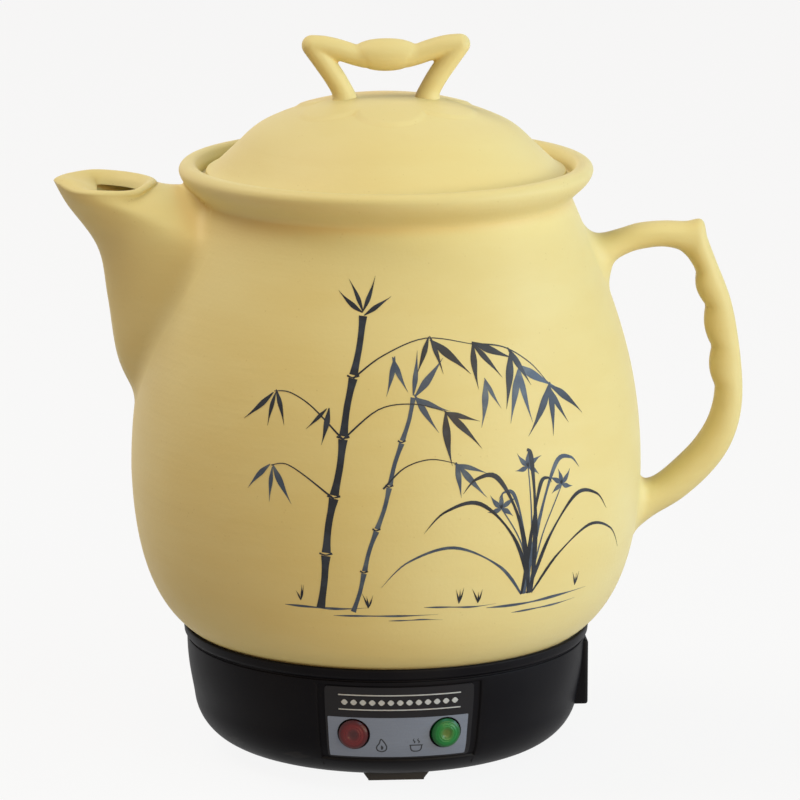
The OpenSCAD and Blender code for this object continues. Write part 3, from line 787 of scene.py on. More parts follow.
@dataclass(frozen=True)
class Glaze:
    """Translucent lamp plastic, brighter towards its middle as a painted glow, under a clear skin."""

    name: str
    rim: tuple
    glow: tuple
    # the heart colour is a painted glow at the lens's middle
    heart: tuple
    centre: tuple
    radius: float = 0.0062

    def make(self) -> bpy.types.Material:
        """Builds the material."""
        material, bench = start(self.name)
        away = bench.node("ShaderNodeVectorMath", {"operation": "DISTANCE"},
                          {0: bench.place(), 1: tuple(c * MM for c in self.centre)}).value("Value")
        share = away / self.radius
        ripple = (share * 26.0).sine() * 0.5 + 0.5
        # The brighter heart is a painted glow of light through the lens.
        colour = bench.mix(share.step(0.10, 0.62), self.heart, self.glow)
        colour = bench.mix(share.step(0.5, 1.0), colour, self.rim)
        colour = bench.mix(ripple * 0.18, colour, self.rim)
        fine = bench.noise(bench.place(), 900.0, 2.0)
        # A faint emission of the lens colour: a painted glow.
        bench.surface(Base_Color=colour, Roughness=0.30 + fine * 0.08, Specular_IOR_Level=0.2, Coat_Weight=0.12,
                      Coat_Roughness=0.10, Emission_Color=colour, Emission_Strength=0.05)
        return material


STONEWARE = FiredStoneware()


# ------------------------------------------------------------------ the fired vessel


@dataclass
class Vessel:
    """The pot's turned body with its lip, lid seat and throat."""

    belly_r: float = 102.0
    belly_z: float = 114.0
    neck_r: float = 73.8
    neck_z: float = 223.0
    rim_r: float = 82.1
    rim_z: float = 237.8
    floor_r: float = 52.0
    floor_z: float = 38.0
    floor_t: float = 8.0
    wall: float = 7.0
    waist_r: float = 79.5
    waist_z: float = 51.0
    lip_r: float = 3.3
    seat_r: float = 73.8
    seat_z: float = 231.5
    throat_r: float = 66.0
    throat_z: float = 219.0
    segments: int = 176
    strainer_rows: tuple = (3, 4, 5, 4, 3, 2)
    strainer_pitch: float = 8.5
    strainer_z: float = 190.0
    strainer_d: float = 4.4
    surface: TurnedSurface = field(init=False)

    def __post_init__(self) -> None:
        """Works out the outside that the spout and handle are luted to."""
        self.surface = TurnedSurface(tuple(self.outside() + self.lip()))

    def outside(self) -> Line:
        """Returns the outer profile from the floor's edge up to the waist under the rim."""
        start_p, waist = (self.floor_r, self.floor_z), (self.waist_r, self.waist_z)
        belly, neck = (self.belly_r, self.belly_z), (self.neck_r, self.neck_z)
        line = [Vector(start_p)]
        line += bezier(start_p, (self.floor_r + 12, self.floor_z), (self.waist_r - 6, self.waist_z - 6.3), waist, 9)
        line += bezier(waist, (self.belly_r - 3.8, self.waist_z + 12.8), (self.belly_r - 0.7, self.belly_z - 20.5),
                       belly, 30)
        line += bezier(belly, (self.belly_r, self.belly_z + 44), (self.neck_r + 16.8, self.neck_z - 40), neck, 38)
        return line

    def lip(self) -> Line:
        """Returns the outer profile of the flared rim, up to its crest."""
        low = (self.neck_r, self.neck_z)
        top = (self.rim_r, self.rim_z - self.lip_r)
        flare = bezier(low, (self.neck_r, self.neck_z + 3.5), (self.rim_r - 1, self.rim_z - 9), top, 14)
        return flare + arc((self.rim_r - self.lip_r, self.rim_z - self.lip_r), self.lip_r, 12, 90, 8)

    def inner(self) -> Line:
        """Returns the profile from the rim's crest down into the pot and to its axis."""
        crest = arc((self.rim_r - self.lip_r - 1, self.rim_z - self.lip_r), self.lip_r, 90, 140, 6)
        seat = rounded(plain(crest[-1:]) + [(self.seat_r, self.seat_z + 2.5, 1.4), (self.seat_r, self.seat_z, 0.9),
                       (self.throat_r, self.seat_z, 1.3), (self.throat_r, self.throat_z, 0)])
        floor_in, z = self.floor_r - 6, self.floor_z + self.floor_t
        down = bezier((self.throat_r, self.throat_z), (self.throat_r + 18, self.throat_z - 38),
                      (self.belly_r - self.wall, self.belly_z + 44), (self.belly_r - self.wall, self.belly_z), 26)
        down += bezier((self.belly_r - self.wall, self.belly_z), (self.belly_r - self.wall - 1, self.belly_z - 42),
                       (self.waist_r + 0.5, z), (floor_in, z), 22)
        rest = [Vector((floor_in * k / 6, z)) for k in (5, 4, 3, 2, 1, 0)]
        return crest + seat[1:] + down + rest

    def build(self) -> Piece:
        """Makes the body and its strainer holes."""
        clay = Clay()
        base = [Vector((self.floor_r * k / 6, self.floor_z)) for k in range(6)]
        clay.turn(base + self.outside() + self.lip() + self.inner(), self.segments)
        mesh = clay.mesh("vessel_body", 50.0)
        body = new_object("vessel_draft", mesh)
        holes = Clay()
        for i, count in enumerate(self.strainer_rows):
            for k in range(count):
                y = (k - (count - 1) / 2) * self.strainer_pitch
                z = self.strainer_z + (2 - i) * self.strainer_pitch * math.sin(math.radians(60))
                turn = Matrix.Translation((-self.belly_r, y, z)) @ Matrix.Rotation(math.radians(90), 4, "Y")
                holes.rod(turn, self.strainer_d / 2, self.belly_r / 2, 24)
        carve(body, [(holes, Cut.TAKE)], 50.0)
        mesh = body.data
        bpy.data.objects.remove(body)
        return Piece("vessel_body", mesh, "pot", "stoneware", STONEWARE.make(), ("pot_body",))


@dataclass
class Spout:
    """The long spout: a soft keel below, two ridges and a thick leaf-shaped mouth."""

    vessel: Vessel
    tip_reach: float = 131.5
    lip_z: float = 231.5
    mouth_half: float = 18.8
    root_half: float = 33.0
    keel_z: float = 140.5
    ridge_z: float = 206.0
    wall: float = 4.5
    droop: float = 2.8
    around: int = 72
    fine: int = 14
    soft: int = 5

    def stations(self) -> list[list[float]]:
        """Returns the spout's stations, going up.

        Returns:
            For each: keel x, z, ridge x, z, back x, z, half width, side power and the deck's two powers.
        """
        root_r = self.vessel.surface.radius(self.ridge_z) - 4
        mouth_x, mouth_end, neck = -self.tip_reach + 17.5, -self.tip_reach + 41, -self.vessel.neck_r + 3
        return [[-self.vessel.surface.radius(self.keel_z) + 3, self.keel_z,
                 -math.sqrt(root_r ** 2 - self.root_half ** 2), self.ridge_z, neck, 229.5, self.root_half,
                 1.5, 1.7, 1.0],
                [-106.6, 159, -81, 212.0, -76.4, 229.2, self.root_half - 4, 1.45, 1.7, 1.0],
                [-110.6, 184, -91.5, 218.0, -82, 229, self.root_half - 8, 1.4, 1.75, 1.0],
                [-114.4, 204.5, -101, 223.2, -86.6, 229.2, self.mouth_half + 2.8, 1.35, 1.8, 0.95],
                [-126.4, 222, -110, 227.8, -90, 229.8, self.mouth_half + 0.8, 1.3, 1.9, 0.7],
                [-self.tip_reach, self.lip_z, mouth_x, self.lip_z, mouth_end, self.lip_z - 1.5,
                 self.mouth_half, 1.3, 2.0, 0.5]]

    def section(self, row: Sequence[float], inset: float, rise: float, front: float = 1.5) -> Ring:
        """Returns one ring of the spout.

        Args:
            row: its station.
            inset: how far it is drawn in.
            rise: how far it is lifted.
            front: how much more it is drawn in towards the keel.
        """
        ridge = Vector((row[2], row[3]))
        keel, back = Vector((row[0], row[1])) - ridge, Vector((row[4], row[5])) - ridge
        keel *= max(1 - front * inset / keel.length, 0.02)
        back *= 1 - inset / back.length
        width = row[6] - inset

        def spot(along: Vector, far: float, wide: float) -> Vector:
            """Returns a place in the ring's plane, some way from the ridge and from the middle."""
            flat = ridge + along * far
            return Vector((flat.x, width * wide, flat.y + rise))

        turns = [math.pi / 2 * k / 60 for k in range(61)]
        side = [spot(keel, corner(math.cos(a), row[7]), corner(math.sin(a), row[7])) for a in turns]
        deck = [spot(back, (1 - math.cos(a) ** row[8]) ** row[9], math.cos(a)) for a in turns]
        quarter = self.around // 4
        half = spaced(side, quarter) + spaced(deck, quarter) + [deck[-1]]
        ring = half + [Vector((p.x, -p.y, p.z)) for p in half[-2:0:-1]]
        for _ in range(self.soft):
            ring = [p.lerp((ring[j - 1] + ring[(j + 1) % len(ring)]) / 2,
                           0.5 * math.exp(-((min(j, len(ring) - j) - quarter) / 4) ** 2))
                    for j, p in enumerate(ring)]
        return ring

    def settle(self, p: Vector) -> Vector:
        """Returns a place with the front of the hand-finished mouth eased down."""
        share = smooth(219, 230, p.z) * smooth(1, 15, -p.y) * smooth(88, 100, -p.x)
        return Vector((p.x, p.y, p.z - self.droop * share))

    def build(self) -> Piece:
        """Makes the spout, its channel and the fillet on the body."""
        rows = self.stations()
        last = len(rows) - 1
        count = last * self.fine
        outer = [self.section(through(rows, k / self.fine), 0, 0) for k in range(count + 1)]
        tracks = [list(t) for t in zip(*outer)]

        def backness(share: float) -> float:
            """Returns 1 on the deck towards the rim and 0 along the keel's side."""
            return smooth(0.30, 0.46, min(share, 1 - share))

        root = Root(self.vessel.surface, tracks, up=lambda s: 5.2 - 1.4 * backness(s),
                    out=lambda s: 5.2 - 1.9 * backness(s))
        rings = root.rings()
        ends = [float(count)] * self.around
        rings += along(tracks, root.starts, ends, 34)
        top = rows[last]
        lip = ((0.35, 0.65), (1.0, 1.15), (1.8, 1.4), (2.7, 1.3), (3.8, 0.7), (5.2, -0.4), (6.4, -1.9), (7.2, -3.8))
        for inset, rise in lip:
            rings.append(self.section(top, inset, rise, 1.5 + 0.12 * inset))
        for k in range(count - 5, 2 * self.fine - 1, -2):
            rings.append(self.section(through(rows, k / self.fine), self.wall, 0))
        low = self.section(through(rows, 0.9), self.wall, 0)
        inner = []
        for far, near in zip(rings[-1], low):
            spot, normal, _ = self.vessel.surface.foot(far.lerp(near, 0.8))
            inner.append(spot - normal * 1.5)
        rings.append([a.lerp(b, 0.5) for a, b in zip(rings[-1], inner)])
        rings.append(inner)
        clay = Clay()
        first, end = clay.loft([[self.settle(p) for p in ring] for ring in rings])
        edges = [clay.bm.edges.get(pair) for row in (first, end) for pair in zip(row, row[1:] + row[:1])]
        bmesh.ops.bridge_loops(clay.bm, edges=edges)
        return Piece("spout", clay.mesh("spout", 60.0), "pot", "stoneware", STONEWARE.make(), ("spout",))


@dataclass
class Handle:
    """The ear-shaped handle with three finger lobes and a thumb nub."""

    vessel: Vessel
    grip_half: float = 7.4
    lobe_h: float = 2.0
    first_lobe: int = 9
    last_lobe: int = 12
    around: int = 40
    fine: int = 10
    stations: tuple = (
        (69, 214, 78, 182, 1.5), (79.5, 208.4, 88, 188.6, 1.35), (86, 207.4, 91.2, 196, 1.15),
        (93, 209, 97, 199.7, 1.02), (101, 211.3, 103.4, 201.4, 1), (111, 212.1, 110.4, 202, 1),
        (120, 211.8, 116.4, 200.8, 1), (126.4, 212.4, 119.6, 198.5, 0.98), (128.4, 205.6, 122, 195.5, 0.98),
        (131.6, 197.2, 124.3, 190.8, 0.96), (138.1, 180.4, 128.3, 177.7, 0.96), (141.6, 163, 131, 160.9, 0.98),
        (143.4, 145, 132.4, 144.9, 1), (142.4, 131.5, 130.4, 133.2, 1.02), (138.2, 119.4, 125, 123.3, 1.05),
        (130.6, 108.9, 117, 114.8, 1.08), (119.5, 99, 109.4, 108.4, 1.12), (108.5, 92.4, 104, 106.4, 1.2),
        (102, 87.5, 101, 107, 1.35), (93, 80, 93, 110, 1.6))

    def section(self, place: float) -> Ring:
        """Returns the handle's ring at a place along its stations."""
        row = through(self.stations, place)
        back, palm = Vector(row[:2]), Vector(row[2:4])
        reach = 0.0
        if self.first_lobe <= place < self.last_lobe:
            reach = self.lobe_h * math.sin(math.pi * (place % 1.0)) ** 0.9
        far = palm + (palm - back).normalized() * reach
        middle, half = (back + far) / 2, (back - far) / 2
        out = []
        for j in range(self.around):
            a = math.tau * j / self.around
            u, v = corner(math.cos(a), 0.9), corner(math.sin(a), 0.9)
            out.append(Vector((middle.x + half.x * u, self.grip_half * row[4] * v, middle.y + half.y * u)))
        return out

    def build(self) -> Piece:
        """Makes the handle with a fillet at each root."""
        count = (len(self.stations) - 1) * self.fine
        tracks = [list(t) for t in zip(*[self.section(k / self.fine) for k in range(count + 1)])]
        half = count // 2
        upper = Root(self.vessel.surface, [t[:half + 1] for t in tracks], up=lambda s: 5.5, out=lambda s: 5.5)
        lower = Root(self.vessel.surface, [t[:half - 1:-1] for t in tracks], up=lambda s: 5.0, out=lambda s: 5.0)
        top, bottom = upper.rings(), lower.rings()
        ends = [count - s for s in lower.starts]
        rings = top + along(tracks, upper.starts, ends, 150) + bottom[::-1][1:]
        clay = Clay()
        first, last = clay.loft(rings)
        clay.cap(first)
        clay.cap(last)
        return Piece("handle", clay.mesh("handle", 70.0), "pot", "stoneware", STONEWARE.make(), ("handle",))


# ------------------------------------------------------------------ the painted decoration


@dataclass(frozen=True)
class BrushInk:
    """Fired-on brush ink: blue-black, thinner where the brush ran dry."""

    name: str
    dark: tuple
    thin: tuple

    def make(self) -> bpy.types.Material:
        """Builds the material."""
        material, bench = start(self.name)
        place = bench.place()
        pool = bench.noise(place, 160.0, 3.0).step(0.42, 0.72)
        dry = bench.noise(place, 1500.0, 2.0).step(0.58, 0.78)
        colour = bench.mix(pool * 0.45 + dry * 0.35, self.dark, self.thin)
        bench.surface(Base_Color=colour, Roughness=0.40 + dry * 0.12, Specular_IOR_Level=0.3)
        return material


class Brush(Enum):
    """How full of ink the brush is."""

    FULL = 0
    THIN = 1


@dataclass
class Strokes:
    """Flat drawing in strokes (x to the right, z up), kept apart by brush."""

    thick: float = 0.04
    sheets: dict = field(default_factory=dict)

    def stroke(self, brush: Enum, path: Sequence[tuple], widths: Sequence[float], n: int = 14) -> None:
        """Draws one stroke.

        Args:
            brush: which brush or ink draws it.
            path: places that the stroke's middle passes.
            widths: its widths, spread evenly along it.
            n: number of segments.
        """
        clay = self.sheets.setdefault(brush, Clay())
        rows = []
        for k in range(n + 1):
            share = k / n
            here = Vector(through(path, share * (len(path) - 1)))
            ahead = Vector(through(path, min(share + 0.01, 1.0) * (len(path) - 1)))
            behind = Vector(through(path, max(share - 0.01, 0.0) * (len(path) - 1)))
            run = (ahead - behind).normalized()
            half = through([[w] for w in widths], share * (len(widths) - 1))[0] / 2
            side = Vector((-run.y, run.x)) * max(half, 0.03)
            rows.append([Vector((p.x, 0, p.y)) for p in (here - side, here, here + side)])
        row = [clay.bm.verts.new(p) for p in rows[0]]
        for pair in zip(row, row[1:]):
            clay.bm.edges.new(pair)
        for points in rows[1:]:
            row = clay.grow(row, points, closed=False)

    def thicken(self) -> None:
        """Gives the strokes their thickness, towards +y or -y."""
        for clay in self.sheets.values():
            bmesh.ops.solidify(clay.bm, geom=clay.bm.faces[:], thickness=self.thick)


@dataclass
class InkPainting(Strokes):
    """A free brush drawing of bamboo and an orchid, fired on the front of the vessel.

    The drawing is flat: x runs round the pot to the right of its front, z is the height.
    """

    vessel: Vessel = field(default_factory=Vessel)
    round_r: float = 100.0
    lift: float = 0.035
    seed: int = 11

    def leaf(self, brush: Brush, x: float, z: float, turn: float, length: float, width: float,
             bend: float = 6.0) -> None:
        """Draws a bamboo leaf from its stalk, in a direction in degrees, with a slight bend."""
        path = []
        for k in range(6):
            a = math.radians(turn + bend * (k - 2.5) / 2.5)
            step = length / 5
            path.append((x, z) if k == 0 else (path[-1][0] + step * math.cos(a), path[-1][1] + step * math.sin(a)))
        self.stroke(brush, path, [w * width for w in (0.16, 0.62, 1.0, 0.86, 0.5, 0.2, 0.02)])

    def spray(self, brush: Brush, x: float, z: float, turns: Sequence[float], length: float,
              chance: random.Random) -> None:
        """Draws a group of leaves that hang from one place."""
        for turn in turns:
            size = length * chance.uniform(0.75, 1.12)
            self.leaf(brush, x + chance.uniform(-0.8, 0.8), z + chance.uniform(-0.8, 0.8),
                      turn + chance.uniform(-7, 7), size, size * chance.uniform(0.125, 0.165),
                      chance.uniform(-9, 9))

    def culm(self, brush: Brush, low: tuple, high: tuple, width: float, joints: int) -> list[tuple]:
        """Draws a bamboo stem in segments and returns the places of its joints."""
        a, b = Vector(low), Vector(high)
        out = []
        for k in range(joints):
            lo, hi = a.lerp(b, (k + 0.02) / joints), a.lerp(b, (k + 0.965) / joints)
            sway = Vector((0.5 * (-1) ** k, 0))
            self.stroke(brush, [tuple(lo), tuple(lo.lerp(hi, 0.5) + sway), tuple(hi)],
                        [width * 1.12, width * 0.86, width * 0.82, width * 0.86, width * 1.16])
            out.append(tuple(hi))
            if k < joints - 1:
                half = width * 0.78
                self.stroke(Brush.FULL, [(hi.x - half, hi.y + 1.0), (hi.x, hi.y + 0.35), (hi.x + half, hi.y + 1.1)],
                            [0.75, 0.45, 0.85], 8)
        return out

    def bamboo(self, chance: random.Random) -> None:
        """Draws the bamboo."""
        tall = self.culm(Brush.FULL, (-33, 79), (-17, 193), 3.2, 5)
        self.culm(Brush.THIN, (-20, 78), (4, 163), 1.9, 5)
        twigs = (((tall[3][0], tall[3][1]), (-8, 178), (10, 184), (30, 181)),
                 ((30, 181), (44, 179), (56, 172), (64, 163)),
                 ((tall[2][0], tall[2][1]), (-36, 158), (-46, 163), (-53, 163)),
                 ((tall[2][0], tall[2][1]), (-10, 158), (4, 160), (16, 157)),
                 ((tall[1][0], tall[1][1]), (-38, 132), (-46, 136), (-52, 135)),
                 ((-8, 128), (0, 136), (10, 139), (20, 137)))
        for twig in twigs:
            self.stroke(Brush.FULL, twig, (0.75, 0.5, 0.42, 0.3), 18)
        full = ((30, 181, (-22, -52, -84), 22), (64, 163, (-30, -62, -95, -128), 21), (47, 178, (-58, -100), 20),
                (12, 184, (-40, -74, -108), 19), (-17, 193, (28, 62, 118, 150), 17), (16, 157, (-18, -50, -82), 19),
                (-53, 163, (-70, -104, -140), 17), (-30, 158, (-96, -128), 15))
        for x, z, turns, length in full:
            self.spray(Brush.FULL, x, z, turns, length, chance)
        thin = ((50, 172, (-36, -76, -112), 22), (4, 163, (-24, -64, 44, 80), 17), (-52, 135, (-60, -98, -134), 15),
                (20, 137, (-20, -56, -88), 17), (-4, 178, (-66, -98), 15), (34, 168, (-64, -92), 16))
        for x, z, turns, length in thin:
            self.spray(Brush.THIN, x, z, turns, length, chance)

    def orchid(self, chance: random.Random) -> None:
        """Draws the orchid's arching leaves and its flowers."""
        root = (52.0, 82.0)
        blades = ((-46, 42, 1.7), (-30, 52, 2.1), (-14, 44, 1.6), (-4, 58, 2.2), (12, 47, 1.8), (26, 55, 2.1),
                  (42, 40, 1.7), (-58, 24, 1.3), (54, 25, 1.3))
        for k, (reach, rise, width) in enumerate(blades):
            x = root[0] + chance.uniform(-3, 3)
            tip_drop = abs(reach) * 0.30
            path = [(x, root[1]), (x + reach * 0.20, root[1] + rise * 0.55), (x + reach * 0.52, root[1] + rise * 0.92),
                    (x + reach * 0.82, root[1] + rise - tip_drop * 0.4), (x + reach, root[1] + rise - tip_drop)]
            brush = Brush.THIN if k in (2, 5, 7) else Brush.FULL
            self.stroke(brush, path, [w * width for w in (0.55, 1.0, 0.5, 0.95, 0.7, 0.35, 0.03)], 30)
        for x, z, lean in ((38, 118, -1), (66, 124, 1), (50, 133, -1)):
            self.stroke(Brush.THIN, [(52, 84), (52 + (x - 52) * 0.35, 84 + (z - 84) * 0.55), (x, z)],
                        (0.9, 0.6, 0.5), 18)
            for turn, length in ((95, 6.6), (140, 7.4), (40, 7.4), (200, 6.0), (-25, 6.0)):
                self.leaf(Brush.THIN, x, z, turn + lean * 8, length, 2.0, 12 * lean)
            for turn in (80, 100, 122):
                self.leaf(Brush.FULL, x, z, turn, 2.2, 0.7, 0)

    def ground(self, chance: random.Random) -> None:
        """Draws the ground in a few dry strokes."""
        for x, z, length, width in ((-48, 80, 34, 1.1), (-28, 76.5, 42, 0.9), (8, 79.5, 30, 0.8), (34, 78.5, 52, 1.3),
                                    (46, 75, 34, 0.9), (-6, 74.6, 22, 0.6)):
            wave = [chance.uniform(-0.7, 0.7) for _ in range(4)]
            path = [(x + length * k / 3, z + wave[k]) for k in range(4)]
            self.stroke(Brush.THIN, path, [width * w for w in (0.1, 0.9, 0.5, 1.0, 0.3, 0.02)], 22)
        for x, z in ((-41, 82), (-14, 80), (22, 81), (30, 80.5), (78, 81)):
            for turn in (70, 88, 108):
                self.leaf(Brush.FULL, x, z, turn + chance.uniform(-8, 8), chance.uniform(4, 7), 0.7)

    def build(self) -> list[Piece]:
        """Draws everything and lays it on the vessel."""
        chance = random.Random(self.seed)
        self.bamboo(chance)
        self.orchid(chance)
        self.ground(chance)
        finishes = {Brush.FULL: BrushInk("ink_full", srgb(26, 28, 34), srgb(58, 66, 80)),
                    Brush.THIN: BrushInk("ink_thin", srgb(62, 74, 92), srgb(112, 122, 128))}
        out = []
        self.thicken()
        for brush, clay in self.sheets.items():
            level = self.lift + (0.02 if brush is Brush.FULL else 0.0)
            clay.move(lambda p, level=level: self._laid(p, level))
            name = f"painting_{brush.name.lower()}"
            out.append(Piece(name, clay.mesh(name, 60.0), "pot", "stoneware", finishes[brush].make()))
        return out

    def _laid(self, p: Vector, level: float) -> Vector:
        """Returns the place on the vessel of a point of the flat drawing."""
        surface = self.vessel.surface
        radius = surface.radius(p.z)
        slope = surface.radius(p.z + 0.5) - surface.radius(p.z - 0.5)
        size = math.hypot(1, slope)
        out = (level + abs(p.y)) / size
        turn = -math.pi / 2 + p.x / self.round_r
        flat = radius + out
        return Vector((flat * math.cos(turn), flat * math.sin(turn), p.z - out * slope))


# ------------------------------------------------------------------ the lid


@dataclass
class Lid:
    """The loose domed lid: ogee slope, six faint petals, steam hole and collar."""

    lid_r: float = 71.4
    rest_z: float = 231.8
    dome_h: float = 31.2
    thick: float = 5.0
    shoulder_r: float = 48.0
    cap_drop: float = 9.6
    collar_r: float = 63.6
    collar_h: float = 10.0
    relief_h: float = 0.8
    petal_r: float = 13.5
    petal_ring: float = 24.5
    vent_d: float = 4.5
    vent_ring: float = 58.0
    segments: int = 176
    surface: TurnedSurface = field(init=False)

    def __post_init__(self) -> None:
        """Works out the dome that the loop stands on."""
        line = [p + Vector((0, self.relief_h)) for p in self.cap(60)]
        self.surface = TurnedSurface(tuple(line[::-1]))

    @property
    def apex_z(self) -> float:
        """Height of the dome's middle."""
        return self.rest_z + self.dome_h

    def cap(self, n: int) -> Line:
        """Returns the top of the dome, from its middle to the shoulder."""
        radii = [self.shoulder_r * i / n for i in range(n + 1)]
        return [Vector((r, self.apex_z - self.cap_drop * (r / self.shoulder_r) ** 2.4)) for r in radii]

    def line(self) -> Line:
        """Returns the whole profile, from the top of the dome round to its underside's middle."""
        s, z, low = self.shoulder_r, self.apex_z - self.cap_drop, self.rest_z
        out = self.cap(60)
        out += bezier((s, z), (s + 4.2, z - 2), (s + 7.4, z - 5), (s + 10.4, z - 8.2), 10)
        out += bezier((s + 10.4, z - 8.2), (self.lid_r - 8, low + 9), (self.lid_r - 4.5, low + 4.6),
                      (self.lid_r - 1.2, low + 3.2), 10)
        inner_r = self.collar_r - self.thick + 0.5
        under = [(self.lid_r - 1.2, low + 3.2, 0), (self.lid_r - 0.1, low + 2.7, 0.5), (self.lid_r, low + 1.2, 0.6),
                 (self.lid_r - 1.0, low, 0.6), (self.collar_r, low, 0.5),
                 (self.collar_r, low - self.collar_h, 1.6), (inner_r, low - self.collar_h, 1.6), (inner_r, low + 5, 0)]
        out += rounded(under)[1:]
        out += bezier((inner_r, low + 5), (inner_r - 2, low + 10), (s + 3, z - 8),
                      (s - 8, self.apex_z - self.cap_drop * ((s - 8) / s) ** 2.4 - self.thick - 0.6), 10)
        inside = [Vector((r, self.apex_z - self.cap_drop * (r / s) ** 2.4 - self.thick - 0.4))
                  for r in (36, 30, 24, 18, 12, 6, 0)]
        return out + inside

    def relief(self, point: Vector) -> float:
        """Returns how much of the petals' height shows at a point of the dome."""
        radius = math.hypot(point.x, point.y)
        gap = radius - self.petal_ring
        for k in range(6):
            a = math.radians(-90 + 60 * k)
            x, y = self.petal_ring * math.cos(a), self.petal_ring * math.sin(a)
            away = math.hypot(point.x - x, point.y - y)
            gap = min(gap, away - self.petal_r)
        return 1 - smooth(-1.6, 0.9, gap)

    def build(self) -> Piece:
        """Makes the lid."""
        clay = Clay()
        clay.turn(self.line(), self.segments)
        top = [v for v in clay.bm.verts
               if math.hypot(v.co.x, v.co.y) < self.shoulder_r and v.co.z > self.apex_z - self.cap_drop * (
                   math.hypot(v.co.x, v.co.y) / self.shoulder_r) ** 2.4 - 0.2]
        clay.move(lambda p: p + Vector((0, 0, self.relief_h * self.relief(p))), top)
        body = new_object("lid_draft", clay.mesh("lid_dome", 50.0))
        hole = Clay().rod(Matrix.Translation((0, self.vent_ring, self.rest_z - 1)), self.vent_d / 2, self.dome_h, 32)
        carve(body, [(hole, Cut.TAKE)], 50.0)
        mesh = body.data
        bpy.data.objects.remove(body)
        return Piece("lid_dome", mesh, "lid", "stoneware", STONEWARE.make(), ("lid",))


@dataclass
class LidLoop:
    """The lid's lifting loop: two leaning legs, folded corners and a sagging bar with a pearl."""

    lid: Lid
    loop_r: float = 4.2
    loop_half: float = 29.2
    loop_rise: float = 21.0
    leg_foot: float = 16.2
    bar_dip: float = 6.2
    pearl_r: float = 9.4
    pearl_h: float = 4.6
    around: int = 28
    voxel: float = 0.55

    @property
    def top_z(self) -> float:
        """Height of the corners."""
        return self.lid.apex_z + self.loop_rise

    def rod(self, clay: Clay, path: Sequence[Sequence[float]], per_span: int, flare: float = 0.0) -> None:
        """Adds a round-ended rod through stations of x, z and half height in the upright plane.

        Args:
            clay: the mesh that it joins.
            path: the stations.
            per_span: rings from one station to the next.
            flare: how much the first end widens where it stands on the dome.
        """
        count = (len(path) - 1) * per_span
        rows = [through(path, k / per_span) for k in range(count + 1)]
        rings = []
        for k, (x, z, half) in enumerate(rows):
            a, b = rows[max(k - 1, 0)], rows[min(k + 1, count)]
            lean = Vector((b[0] - a[0], b[1] - a[1])).normalized()
            width = 0.4 * self.loop_r + 0.7 * half
            spread = flare * max(0.0, 1 - (z - path[0][1]) / 8.5) ** 2
            rings.append(self._ring(Vector((x, z)), lean, half + spread, width + spread))
        tip, lean, half = Vector(rows[-1][:2]), lean, rows[-1][2]
        for a in (20, 40, 58, 74, 86):
            s, c = math.sin(math.radians(a)), math.cos(math.radians(a))
            rings.append(self._ring(tip + lean * half * s, lean, half * c, 1.1 * half * c))
        first, last = clay.loft(rings)
        clay.cap(first)
        clay.cap(last)

    def _ring(self, middle: Vector, lean: Vector, half: float, width: float) -> Ring:
        """Returns a ring across a rod."""
        out = []
        for j in range(self.around):
            a = math.tau * j / self.around
            out.append(Vector((middle.x - lean.y * half * math.cos(a), width * math.sin(a),
                               middle.y + lean.x * half * math.cos(a))))
        return out

    def bar(self, x: float) -> tuple[float, float, float]:
        """Returns the bar's station at a distance from the middle."""
        z = self.top_z - self.bar_dip * (0.5 + 0.5 * math.cos(math.pi * x / self.loop_half))
        h = self.pearl_h * math.sqrt(1 - (x / self.pearl_r) ** 2) if abs(x) < self.pearl_r else 0.0
        return (x, z + h / 2, self.loop_r + h / 2)

    def build(self) -> Piece:
        """Makes the loop in one skin with soft folds."""
        apex, top = self.lid.apex_z, self.top_z
        clay = Clay()
        for side in (-1, 1):
            leg = [(self.leg_foot, apex - 4), (self.leg_foot + 0.6, apex + 1.5), (self.leg_foot + 3.6, apex + 7.5),
                   (self.loop_half - 4.6, top - 6.4), (self.loop_half, top)]
            self.rod(clay, [(side * x, z, self.loop_r) for x, z in leg], 8, flare=3.2)
        places = [u * self.loop_half for u in (-1, -0.85, -0.7, -0.55, -0.42)]
        places += [u * self.pearl_r for u in (-0.95, -0.85, -0.65, -0.35, 0, 0.35, 0.65, 0.85, 0.95)]
        places += [u * self.loop_half for u in (0.42, 0.55, 0.7, 0.85, 1)]
        self.rod(clay, [self.bar(x) for x in places], 5)
        draft = new_object("loop_draft", clay.mesh("lid_loop", 180.0))
        skin = draft.modifiers.new("skin", "REMESH")
        skin.mode = "VOXEL"
        skin.voxel_size = self.voxel * MM
        ease = draft.modifiers.new("ease", "SMOOTH")
        ease.factor = 0.5
        ease.iterations = 9
        apply_modifiers(draft, 180.0)
        mesh = draft.data
        bpy.data.objects.remove(draft)
        return Piece("lid_loop_handle", mesh, "lid", "stoneware", STONEWARE.make(), ("lid_loop",))


# ------------------------------------------------------------------ the base


